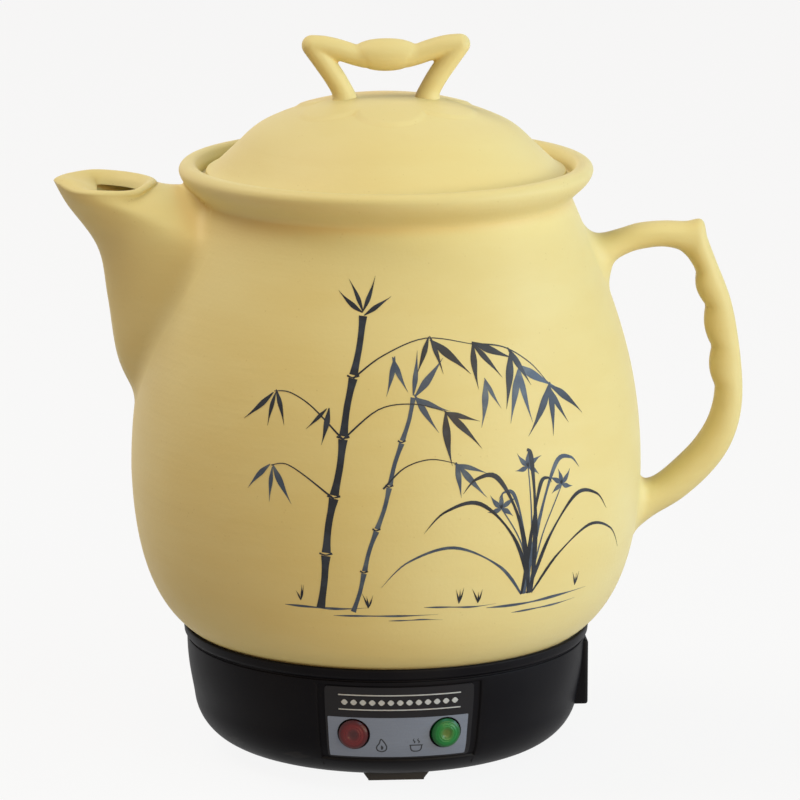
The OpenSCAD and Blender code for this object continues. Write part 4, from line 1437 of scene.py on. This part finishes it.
@dataclass
class BaseShell:
    """The moulded base: round-cornered wall, collar, label recess, inlet pad and foot holes."""

    flange_r: float = 81.6
    base_r: float = 80.2
    flange_z: float = 51.0
    flange_h: float = 5.0
    waist_r: float = 79.5
    base_round: float = 20.0
    shell_t: float = 2.5
    foot_h: float = 3.3
    foot_ring: float = 54.5
    cover_r: float = 47.0
    cover_t: float = 2.2
    lamp_z: float = 24.0
    lamp_a: float = 13.4
    lens_d: float = 12.0
    recess: float = 0.8
    recess_z: tuple = (12.0, 44.3)
    inlet_w: float = 31.0
    inlet_h: float = 24.0
    inlet_z: float = 30.8
    segments: int = 128

    @property
    def wall_top(self) -> float:
        """Height where the wall ends under the collar."""
        return self.flange_z - self.flange_h - 0.4

    def wall(self) -> Line:
        """Returns the outer wall from the bottom corner up to the collar."""
        centre = Vector((self.base_r - 22.8, self.foot_h + self.base_round))
        line = arc(centre, self.base_round, -90, -8, 22)
        low = line[-1]
        return line + bezier(low, low + Vector((0.9, 7)), (self.base_r, self.wall_top - 12),
                             (self.base_r, self.wall_top), 16)

    def radius(self, z: float) -> float:
        """Returns the wall's radius at a height."""
        return TurnedSurface(tuple(self.wall())).radius(z)

    def lamp_matrix(self, side: int, beyond: float = 0.0) -> Matrix:
        """Returns the place of a lamp on the wall, its Z pointing outwards.

        Args:
            side: -1 for the cook lamp on the left, 1 for the keep-warm lamp.
            beyond: how far outside the wall the origin lies.
        """
        turn = Matrix.Rotation(math.radians(-90 + side * self.lamp_a), 4, "Z")
        out = Matrix.Translation((self.radius(self.lamp_z) + beyond, 0, self.lamp_z))
        return turn @ out @ Matrix.Rotation(math.radians(90), 4, "Y")

    def profile(self) -> Line:
        """Returns the closed profile, outer wall first."""
        wall = self.wall()
        outer = []
        for a, b in zip(wall, wall[1:]):
            outer.append(a)
            outer += [a.lerp(b, (z - a[1]) / (b[1] - a[1])) for z in self.recess_z if a[1] < z < b[1]]
        shelf_z, shelf_r = self.foot_h + self.cover_t, self.cover_r - 7
        top = [(*outer[-1], 0), (self.base_r, self.wall_top, 0.35), (self.base_r - 0.7, self.wall_top + 0.1, 0.3),
               (self.base_r - 0.7, self.wall_top + 0.6, 0.3), (self.flange_r - 0.35, self.flange_z - 3.6, 0.8),
               (self.flange_r, self.flange_z - 0.1, 0.8), (self.waist_r + 0.9, self.flange_z, 0.3),
               (self.waist_r - 2.6, self.flange_z - 4.2, 0.3), (self.base_r - self.shell_t, self.flange_z - 7, 1.0),
               (self.base_r - self.shell_t, self.wall_top - 2.4, 0)]
        inner = [Vector((p[0] - self.shell_t, p[1])) for p in wall
                 if shelf_z + self.shell_t + 1 < p[1] < self.wall_top - 3][::-1]
        low = rounded([(*inner[-1], 0), (self.base_r - 18.8, shelf_z + self.shell_t, 2.0),
                       (shelf_r, shelf_z + self.shell_t, 0.5), (shelf_r, shelf_z, 0.5),
                       (self.cover_r + 0.1, shelf_z, 0.3), (self.cover_r + 0.1, self.foot_h, 0.5),
                       (*wall[0], 0)])
        return outer + rounded(top)[1:] + inner + low[1:]

    def build(self) -> Piece:
        """Makes the shell."""
        clay = Clay()
        half = math.pi / self.segments
        clay.turn(self.profile(), self.segments, start=-math.pi / 2 - half)
        bmesh.ops.recalc_face_normals(clay.bm, faces=clay.bm.faces)
        limit = math.radians(24.2)
        front = []
        for face in clay.bm.faces:
            middle = face.calc_center_median()
            turn = math.atan2(middle.x, -middle.y)
            outer = math.hypot(middle.x, middle.y) > self.radius(middle.z) - 1.0
            if abs(turn) < limit and self.recess_z[0] < middle.z < self.recess_z[1] and outer:
                front.append(face)
        rim = {e for f in front for e in f.edges if sum(g in front for g in e.link_faces) == 1}
        bmesh.ops.inset_region(clay.bm, faces=front, thickness=0.5, depth=-self.recess, use_even_offset=True,
                               use_boundary=True)
        clay.bevel([e for e in rim if e.is_valid], 0.3, 2)
        shell = new_object("shell_draft", clay.mesh("base_shell", 40.0))
        pad_x, pad_in = self.flange_r - 1.3, self.base_r - 8.6
        pad_low, pad_top = self.inlet_z - self.inlet_h / 2 - 0.8, self.wall_top - 0.9
        pad = Clay().block((pad_in, -self.inlet_w / 2 - 2, pad_low), (pad_x, self.inlet_w / 2 + 2, pad_top), 1.1)
        back = [e for e in pad.bm.edges if all(v.co.x < pad_in + 1.2 and v.co.z > pad_top - 1.2 for v in e.verts)]
        pad.bevel(back, 0.2, 1)
        hole = Clay().block((pad_in - 4, -self.inlet_w / 2 + 1.75, self.inlet_z - self.inlet_h / 2 + 2.5),
                            (pad_x + 4, self.inlet_w / 2 - 1.75, self.inlet_z + self.inlet_h / 2 - 2.5), 1.0)
        rebate = Clay().block((pad_x - 1.4, -self.inlet_w / 2, self.inlet_z - self.inlet_h / 2),
                              (pad_x + 4, self.inlet_w / 2, self.inlet_z + self.inlet_h / 2), 1.2)
        bores = Clay()
        for side in (-1, 1):
            bores.rod(self.lamp_matrix(side, -8), self.lens_d / 2 - 1, 12)
        sinks = Clay()
        for side in (-1, 1):
            sinks.rod(self.lamp_matrix(side, -1.6), self.lens_d / 2 + 0.3, 6)
        for k in range(3):
            a = math.radians(-90 + 120 * k)
            peg = (self.foot_ring * math.cos(a), self.foot_ring * math.sin(a), 0)
            bores.rod(Matrix.Translation(peg), 2.5, 12, 24)
        carve(shell, [(pad, Cut.JOIN), (hole, Cut.TAKE), (rebate, Cut.TAKE), (bores, Cut.TAKE), (sinks, Cut.TAKE)],
              40.0)
        mesh = shell.data
        bpy.data.objects.remove(shell)
        return Piece("base_shell", mesh, "pot", "base_plastic", BLACK_SHELL.make(), ("base_housing",))


BLACK_SHELL = MouldedPlastic("black_shell", srgb(14, 13, 17), roughness=0.42, wear=0.05, shine=0.06)


@dataclass
class Label:
    """The label between the lamps: a black film with a satin silver field and small signs."""

    shell: BaseShell
    half_angle: float = 21.5
    low: float = 13.5
    high: float = 43.5
    silver_x: tuple = (-28.6, 27.6)
    silver_z: tuple = (14.2, 31.0)
    under: float = -0.75
    thick: float = 0.5

    def wrap(self, clay: Clay) -> Clay:
        """Wraps flat work (x along the wall, y outwards, z up) round the base wall."""
        span = TurnedSurface(tuple(self.shell.wall()))
        reach = span.radius((self.low + self.high) / 2)

        def bend(p: Vector) -> Vector:
            """Returns a point's place on the wall."""
            turn = -math.pi / 2 + p.x / reach
            radius = span.radius(p.z) + p.y
            return Vector((radius * math.cos(turn), radius * math.sin(turn), p.z))

        clay.move(bend)
        return clay

    def sheet(self, low: tuple, high: tuple, base: float, thick: float, round_off: float) -> Clay:
        """Makes a thin wrapped sheet with rounded corners.

        Args:
            low: its lower left corner, along the wall and up.
            high: its upper right corner.
            base: how far its back lies outside the wall.
            thick: its thickness.
            round_off: radius of its corners.
        """
        clay = Clay()
        nx, nz = 44, 22
        size = Matrix.Translation(((low[0] + high[0]) / 2, base, (low[1] + high[1]) / 2)) @ Matrix.Rotation(
            math.radians(90), 4, "X") @ Matrix.Diagonal(((high[0] - low[0]) / 2, (high[1] - low[1]) / 2, 1, 1))
        bmesh.ops.create_grid(clay.bm, x_segments=nx, y_segments=nz, size=1.0, matrix=size)
        corners = [v for v in clay.bm.verts if len(v.link_edges) == 2]
        bmesh.ops.bevel(clay.bm, geom=corners, offset=round_off, offset_type="OFFSET", segments=4, profile=0.5,
                        affect="VERTICES", material=-1, clamp_overlap=False)
        made = bmesh.ops.extrude_face_region(clay.bm, geom=clay.bm.faces[:])["geom"]
        bmesh.ops.translate(clay.bm, vec=(0, thick, 0), verts=[g for g in made if isinstance(g, BMVert)])
        return self.wrap(clay)

    def lamp_holes(self, play: float) -> Clay:
        """Returns the rods that cut the lamp holes, wider than the lenses by some play."""
        rods = Clay()
        for side in (-1, 1):
            rods.rod(self.shell.lamp_matrix(side, -8), self.shell.lens_d / 2 + play, 16, 64)
        return rods

    def signs(self) -> list[Piece]:
        """Draws a flame and a steaming cup beside their lamps, and a row of lozenges on the black band."""
        work = Strokes()
        fire, cup, z = -7.2, 6.6, 16.6
        pitch, row_z = 3.6, 37.3
        flame = ((0, 0), (-1.7, 0.7), (-2.0, 2.2), (-1.0, 3.6), (-0.3, 5.4), (0.9, 4.2), (1.5, 3.3), (2.0, 2.0),
                 (1.5, 0.6), (0, 0))
        work.stroke(Sign.DARK, [(fire + x, z + h) for x, h in flame], (0.5,) * 2, 40)
        heart = [(fire, z + 0.8), (fire + 0.15, z + 1.8), (fire - 0.2, z + 2.8)]
        work.stroke(Sign.DARK, heart, (0.2, 1.1, 0.1))
        bowl = ((-2.3, 2.7), (-2.0, 0.9), (-1.0, 0.1), (1.0, 0.1), (2.0, 0.9), (2.3, 2.7))
        work.stroke(Sign.DARK, [(cup + x, z + h) for x, h in bowl], (0.5,) * 2, 30)
        work.stroke(Sign.DARK, [(cup - 2.7, z + 2.7), (cup + 2.7, z + 2.7)], (0.45,) * 2, 4)
        for x in (-0.9, 0.9):
            steam = ((0, 3.5), (0.35, 4.1), (-0.3, 4.8), (0.1, 5.5))
            work.stroke(Sign.DARK, [(cup + x + w, z + h) for w, h in steam], (0.3, 0.5, 0.4, 0.15))
        for k in range(-6, 7):
            x = k * pitch
            work.stroke(Sign.PALE, [(x - 1.3, row_z), (x + 1.3, row_z)], (0.1, 1.5, 2.3, 1.5, 0.1), 8)
        for h in (row_z - 3, row_z + 3):
            work.stroke(Sign.PALE, [(x, h) for x in (-24, -12, 0, 12, 24)], (0.45,) * 2, 24)
        work.thicken()
        inks = {Sign.DARK: PrintInk("label_dark_ink", srgb(38, 40, 46), srgb(52, 55, 62)),
                Sign.PALE: PrintInk("label_pale_ink", srgb(172, 176, 182), srgb(196, 199, 204))}
        levels = {Sign.DARK: self.under + self.thick + 0.05, Sign.PALE: self.under + self.thick + 0.02}
        out = []
        for sign, clay in work.sheets.items():
            clay.move(lambda p, level=levels[sign]: Vector((p.x, level + abs(p.y), p.z)))
            name = f"label_signs_{sign.name.lower()}"
            out.append(Piece(name, self.wrap(clay).mesh(name, 60.0), "pot", "label_film", inks[sign].make()))
        return out

    def build(self) -> list[Piece]:
        """Makes the film, the silver field and the signs."""
        reach = self.shell.radius((self.low + self.high) / 2) * math.radians(self.half_angle)
        sheet = self.sheet((-reach, self.low), (reach, self.high), self.under, self.thick, 1.4)
        film = new_object("film_draft", sheet.mesh("label_film"))
        carve(film, [(self.lamp_holes(0.3), Cut.TAKE)], 30.0)
        field_sheet = new_object("field_draft", self.sheet(
            (self.silver_x[0], self.silver_z[0]), (self.silver_x[1], self.silver_z[1]),
            self.under + self.thick - 0.02, 0.05, 0.5).mesh("silver_field"))
        carve(field_sheet, [(self.lamp_holes(0.5), Cut.TAKE)], 30.0)
        out = [Piece("label_film", film.data, "pot", "label_film", LabelFilm().make(), ("label_plate",)),
               Piece("label_silver_field", field_sheet.data, "pot", "label_film", SatinSilver().make())]
        for draft in (film, field_sheet):
            bpy.data.objects.remove(draft)
        return out + self.signs()


class Sign(Enum):
    """The label's two printing inks."""

    DARK = 0
    PALE = 1


@dataclass(frozen=True)
class PrintInk:
    """Screen-printed ink, a little uneven."""

    name: str
    dark: tuple
    light: tuple

    def make(self) -> bpy.types.Material:
        """Builds the material."""
        material, bench = start(self.name)
        speck = bench.noise(bench.place(), 900.0, 2.0)
        bench.surface(Base_Color=bench.mix(speck, self.dark, self.light), Roughness=0.40 + speck * 0.1,
                      Specular_IOR_Level=0.3)
        return material


@dataclass(frozen=True)
class LabelFilm:
    """Black printed film, slightly orange-peeled."""

    colour: tuple = srgb(27, 26, 30)

    def make(self) -> bpy.types.Material:
        """Builds the material."""
        material, bench = start("label_black_film")
        place = bench.place()
        peel = bench.noise(place, 700.0, 2.0)
        cloud = bench.noise(place, 60.0, 3.0)
        colour = bench.mix(cloud * 0.14, self.colour, srgb(70, 70, 76))
        bench.surface(Base_Color=colour, Roughness=0.26 + cloud * 0.10, Normal=bench.bump(peel, 0.00003, 0.5),
                      IOR=1.5, Specular_IOR_Level=0.14)
        return material


@dataclass(frozen=True)
class SatinSilver:
    """Silver ink on film, with fine level brush lines."""

    colour: tuple = srgb(126, 133, 148)
    dark: tuple = srgb(102, 109, 124)

    def make(self) -> bpy.types.Material:
        """Builds the material."""
        material, bench = start("label_silver")
        place = bench.place()
        line = bench.noise(bench.stretched(place, (1, 1, 22)), 130.0, 4.0)
        flake = bench.cells(place, 2600.0).step(0.1, 0.5)
        colour = bench.mix(line * 0.6 + flake * 0.25, self.dark, self.colour)
        bench.surface(Base_Color=colour, Metallic=0.35, Roughness=0.38 + line * 0.12,
                      Normal=bench.bump(line, 0.00002, 0.5))
        return material


@dataclass
class Lamps:
    """The two pilot lenses: a stepped dome with turned rings over a sunk eye."""

    shell: BaseShell

    def build(self) -> list[Piece]:
        """Makes both lenses."""
        names = ((-1, "cook_lamp", "cook_lamp_lens", "red_lens"),
                 (1, "warm_lamp", "warm_lamp_lens", "green_lens"))
        out = []
        for side, name, node, slot in names:
            clay = Clay()
            r = self.shell.lens_d / 2 - 0.25
            dome = [(0, 1.45), (0.5, 1.42), (1.3, 1.5), (1.9, 1.75), (2.3, 2.02), (2.75, 2.05), (2.95, 1.9),
                    (3.2, 1.88), (3.4, 1.98), (3.9, 1.86), (4.15, 1.68), (4.4, 1.66), (4.6, 1.68), (5.2, 1.28),
                    (5.75, 0.85), (r, 0.45), (r, -1.45)]
            stem = [(r - 0.1, -1.5), (3.6, -1.5), (3.6, -5), (0, -5)]
            clay.turn([Vector(p) for p in dome + stem], 64)
            place = self.shell.lamp_matrix(side)
            clay.move(lambda p, place=place: place @ p)
            middle = place @ Vector((0, 0, 1.2))
            if side < 0:
                finish = Glaze("red_lens", srgb(58, 10, 16), srgb(104, 30, 34), srgb(70, 34, 38), tuple(middle))
            else:
                finish = Glaze("green_lens", srgb(6, 74, 30), srgb(24, 118, 52), srgb(84, 104, 44), tuple(middle))
            out.append(Piece(name, clay.mesh(name, 40.0), "pot", slot, finish.make(), (node,)))
        return out


@dataclass
class Feet:
    """Three moulded rubber feet, flared at the root and rounded at the sole."""

    shell: BaseShell
    width: float = 22.0

    def build(self) -> Piece:
        """Makes the feet, each with a peg on top."""
        clay = Clay()
        h = self.shell.foot_h
        turns = [Matrix.Rotation(math.radians(-90 + 120 * k), 4, "Z") @ Matrix.Translation(
            (self.shell.foot_ring, 0, 0)) for k in range(3)]
        for turn in turns:
            one = Clay()
            one.block((-4.4, -self.width / 2, 0), (4.4, self.width / 2, h + 1.2))
            one.move(lambda p: Vector((p.x + (0.5 if p.x > 0 and p.z > 1 else 0),
                                       p.y * (1 + 0.2 * p.z / h), p.z)))
            one.bevel([e for e in one.bm.edges if sum(v.co.z for v in e.verts) < h], 0.45, 3)
            one.bevel([e for e in one.bm.edges if abs(e.verts[0].co.z - e.verts[1].co.z) > 1.5], 1.2, 4)
            one.rod(Matrix.Translation((0, 0, h)), 2.3, 6.2, 24)
            one.move(lambda p, turn=turn: turn @ p)
            held = bpy.data.meshes.new("held")
            one.bm.to_mesh(held)
            clay.bm.from_mesh(held)
            bpy.data.meshes.remove(held)
            one.bm.free()
        feet = new_object("feet_draft", clay.mesh("feet", 40.0))
        mesh = feet.data
        bpy.data.objects.remove(feet)
        return Piece("rubber_feet", mesh, "pot", "foot_rubber",
                     MouldedPlastic("foot_rubber", srgb(24, 24, 25), roughness=0.7, wear=0.16).make(), ("feet",))


# ------------------------------------------------------------------ pieces that keep their CAD shape


@dataclass(frozen=True)
class NodeFinish:
    """The finish that a carried-over node gets."""

    node: str
    finish: Any


def carried_over() -> list[NodeFinish]:
    """Returns the finish of every node that keeps its own shape."""
    black = MouldedPlastic("black_cover", srgb(33, 32, 34), roughness=0.5, grain=0.00012)
    socket = MouldedPlastic("socket_black", srgb(24, 24, 26), roughness=0.42)
    nylon = MouldedPlastic("natural_nylon", srgb(214, 208, 190), dust=srgb(160, 150, 128), roughness=0.5)
    silicone = MouldedPlastic("black_silicone", srgb(38, 38, 40), roughness=0.62, wear=0.2)
    resin = MouldedPlastic("brown_resin", srgb(92, 58, 40), dust=srgb(150, 130, 110), roughness=0.4)
    dark_resin = MouldedPlastic("dark_resin", srgb(52, 46, 44), dust=srgb(120, 110, 100), roughness=0.42)
    ceramic = MouldedPlastic("white_steatite", srgb(222, 216, 202), dust=srgb(170, 160, 140), roughness=0.6)
    steel = WorkedMetal("zinc_plated_steel", srgb(196, 198, 202), roughness=0.3)
    cast = WorkedMetal("cast_aluminium", srgb(190, 192, 194), lines=(1, 1, 1), scale=700.0, roughness=0.46)
    sheet = WorkedMetal("aluminium_sheet", srgb(206, 208, 210), lines=(1.0, 24.0, 1.0), roughness=0.28)
    tube = WorkedMetal("sheathed_tube", srgb(120, 116, 112), roughness=0.42, stain=srgb(70, 56, 50))
    brass = WorkedMetal("nickel_brass", srgb(206, 194, 160), lines=(24.0, 1.0, 1.0), roughness=0.26)
    plan = {"seal_ring": silicone, "bottom_cover": black, "cover_screws": steel, "lamp_barrels": nylon,
            "lamp_nuts": nylon, "inlet_socket": socket, "inlet_pins": brass, "heating_plate": cast,
            "heater_tube": tube, "heat_shield": sheet, "heater_bracket": steel, "bracket_screws": steel,
            "heater_screws": steel, "thermostat": dark_resin, "overheat_cutout": resin, "switch_clip": steel,
            "thermal_fuse": ceramic, "fuse_strap": steel}
    return [NodeFinish(node, finish) for node, finish in plan.items()]


def dress_nodes() -> None:
    """Gives each carried-over node its finish in place of its flat colour."""
    made: dict[int, bpy.types.Material] = {}
    for entry in carried_over():
        key = id(entry.finish)
        if key not in made:
            made[key] = entry.finish.make()
        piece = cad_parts[entry.node]
        for slot in piece.material_slots:
            slot.material = made[key]
        if not piece.material_slots:
            piece.data.materials.append(made[key])
        log.info("%s keeps its shape, in %s", entry.node, made[key].name)


# ------------------------------------------------------------------ studio


@dataclass
class Studio:
    """The photograph's viewpoint, plain soft lamps and a pale floor."""

    azimuth: float = -4.0
    elevation: float = 12.3
    distance: float = 2.067
    target: tuple = (0.0, 0.0, 0.1375)
    lens: float = 232.5
    shift: tuple = (0.0175, 0.01)

    def camera(self) -> None:
        """Makes the camera."""
        a, e = math.radians(self.azimuth), math.radians(self.elevation)
        back = Vector((math.sin(a) * math.cos(e), -math.cos(a) * math.cos(e), math.sin(e)))
        right = Vector((math.cos(a), math.sin(a), 0))
        up = back.cross(right)
        data = bpy.data.cameras.new("camera")
        data.lens, data.sensor_width = self.lens, 36.0
        data.shift_x, data.shift_y = self.shift
        data.clip_end = 30.0
        made = bpy.data.objects.new("camera", data)
        bpy.context.scene.collection.objects.link(made)
        turn = Matrix((right, up, back)).transposed().to_4x4()
        made.matrix_world = Matrix.Translation(Vector(self.target) + back * self.distance) @ turn
        bpy.context.scene.camera = made

    def lamp(self, name: str, place: tuple, size: float, power: float, warmth: tuple = (1, 1, 1)) -> None:
        """Adds a square soft lamp that faces the pot.

        Args:
            name: its name.
            place: where it hangs, in metres.
            size: its side, in metres.
            power: its power, in watts.
            warmth: its colour.
        """
        data = bpy.data.lights.new(name, "AREA")
        data.shape, data.size, data.energy, data.color = "SQUARE", size, power, warmth
        made = bpy.data.objects.new(name, data)
        bpy.context.scene.collection.objects.link(made)
        made.location = place
        made.rotation_euler = (Vector(self.target) - Vector(place)).to_track_quat("-Z", "Y").to_euler()

    def floor(self) -> None:
        """Makes the pale floor, which keeps the shadow."""
        clay = Clay()
        bmesh.ops.create_grid(clay.bm, x_segments=1, y_segments=1, size=9000.0)
        made = new_object("floor", clay.mesh("floor"))
        material, bench = start("pale_floor")
        tint = bench.noise(bench.place(), 3.0, 2.0)
        colour = bench.mix(tint * 0.3, (0.50, 0.50, 0.49, 1), (0.54, 0.54, 0.53, 1))
        diffuse = bench.node("ShaderNodeBsdfDiffuse", {}, {"Color": colour})
        glow = bench.node("ShaderNodeEmission", {}, {"Color": (1, 1, 1, 1), "Strength": 1.0})
        path = bench.node("ShaderNodeLightPath")
        seen = path.value("Is Camera Ray") + path.value("Is Glossy Ray") + path.value("Is Transmission Ray")
        both = bench.node("ShaderNodeMixShader", {}, {0: seen * 0.90, 1: diffuse.out(), 2: glow.out()})
        bench.node("ShaderNodeOutputMaterial", {}, {"Surface": both.out()})
        made.data.materials.append(material)

    def world(self, level: float, warmth: tuple) -> None:
        """Makes the plain surround.

        Args:
            level: how much it lights the pot.
            warmth: the colour of its light.
        """
        world = bpy.data.worlds.new("surround")
        world.use_nodes = True
        bpy.context.scene.world = world
        bench = Bench(world.node_tree)
        path = bench.node("ShaderNodeLightPath")
        seen = path.value("Is Camera Ray") + path.value("Is Glossy Ray") + path.value("Is Transmission Ray")
        soft = bench.node("ShaderNodeBackground", {}, {"Color": warmth, "Strength": level})
        white = bench.node("ShaderNodeBackground", {}, {"Color": (1, 1, 1, 1), "Strength": 1.0})
        both = bench.node("ShaderNodeMixShader", {}, {0: seen, 1: soft.out(), 2: white.out()})
        bench.node("ShaderNodeOutputWorld", {}, {"Surface": both.out()})

    def build(self) -> None:
        """Sets up the whole studio."""
        bpy.context.scene.view_settings.view_transform = "Standard"
        self.camera()
        self.floor()
        self.world(0.285, (1.0, 0.57, 0.33, 1))
        self.lamp("side", (2.17, -0.58, 0.62), 1.0, 27.8, (0.52, 0.74, 1.0))
        self.lamp("low_front", (1.76, -1.47, 0.30), 1.0, 15.7, (1.0, 0.96, 0.76))
        self.lamp("warm_front", (0.94, -2.01, 0.73), 1.0, 12.8, (1.0, 0.67, 0.30))
        self.lamp("high_front", (0.77, -1.33, 1.85), 1.0, 9.9, (0.21, 0.84, 1.0))
        self.lamp("high_back", (-1.03, 0.18, 1.96), 1.2, 26.2, (1.0, 0.98, 0.89))


def main() -> None:
    """Builds the studio and every piece of the pot, in order."""
    logging.basicConfig(level=logging.INFO, format="%(name)s %(message)s")
    Studio().build()
    vessel, lid, shell = Vessel(), Lid(), BaseShell()
    pieces = [vessel.build(), Spout(vessel).build(), Handle(vessel).build(), lid.build(), LidLoop(lid).build(),
              *InkPainting(vessel=vessel).build(), shell.build(), *Label(shell).build(), *Lamps(shell).build(),
              Feet(shell).build()]
    for piece in pieces:
        piece.place()
    dress_nodes()


if __name__ == "__main__":
    main()
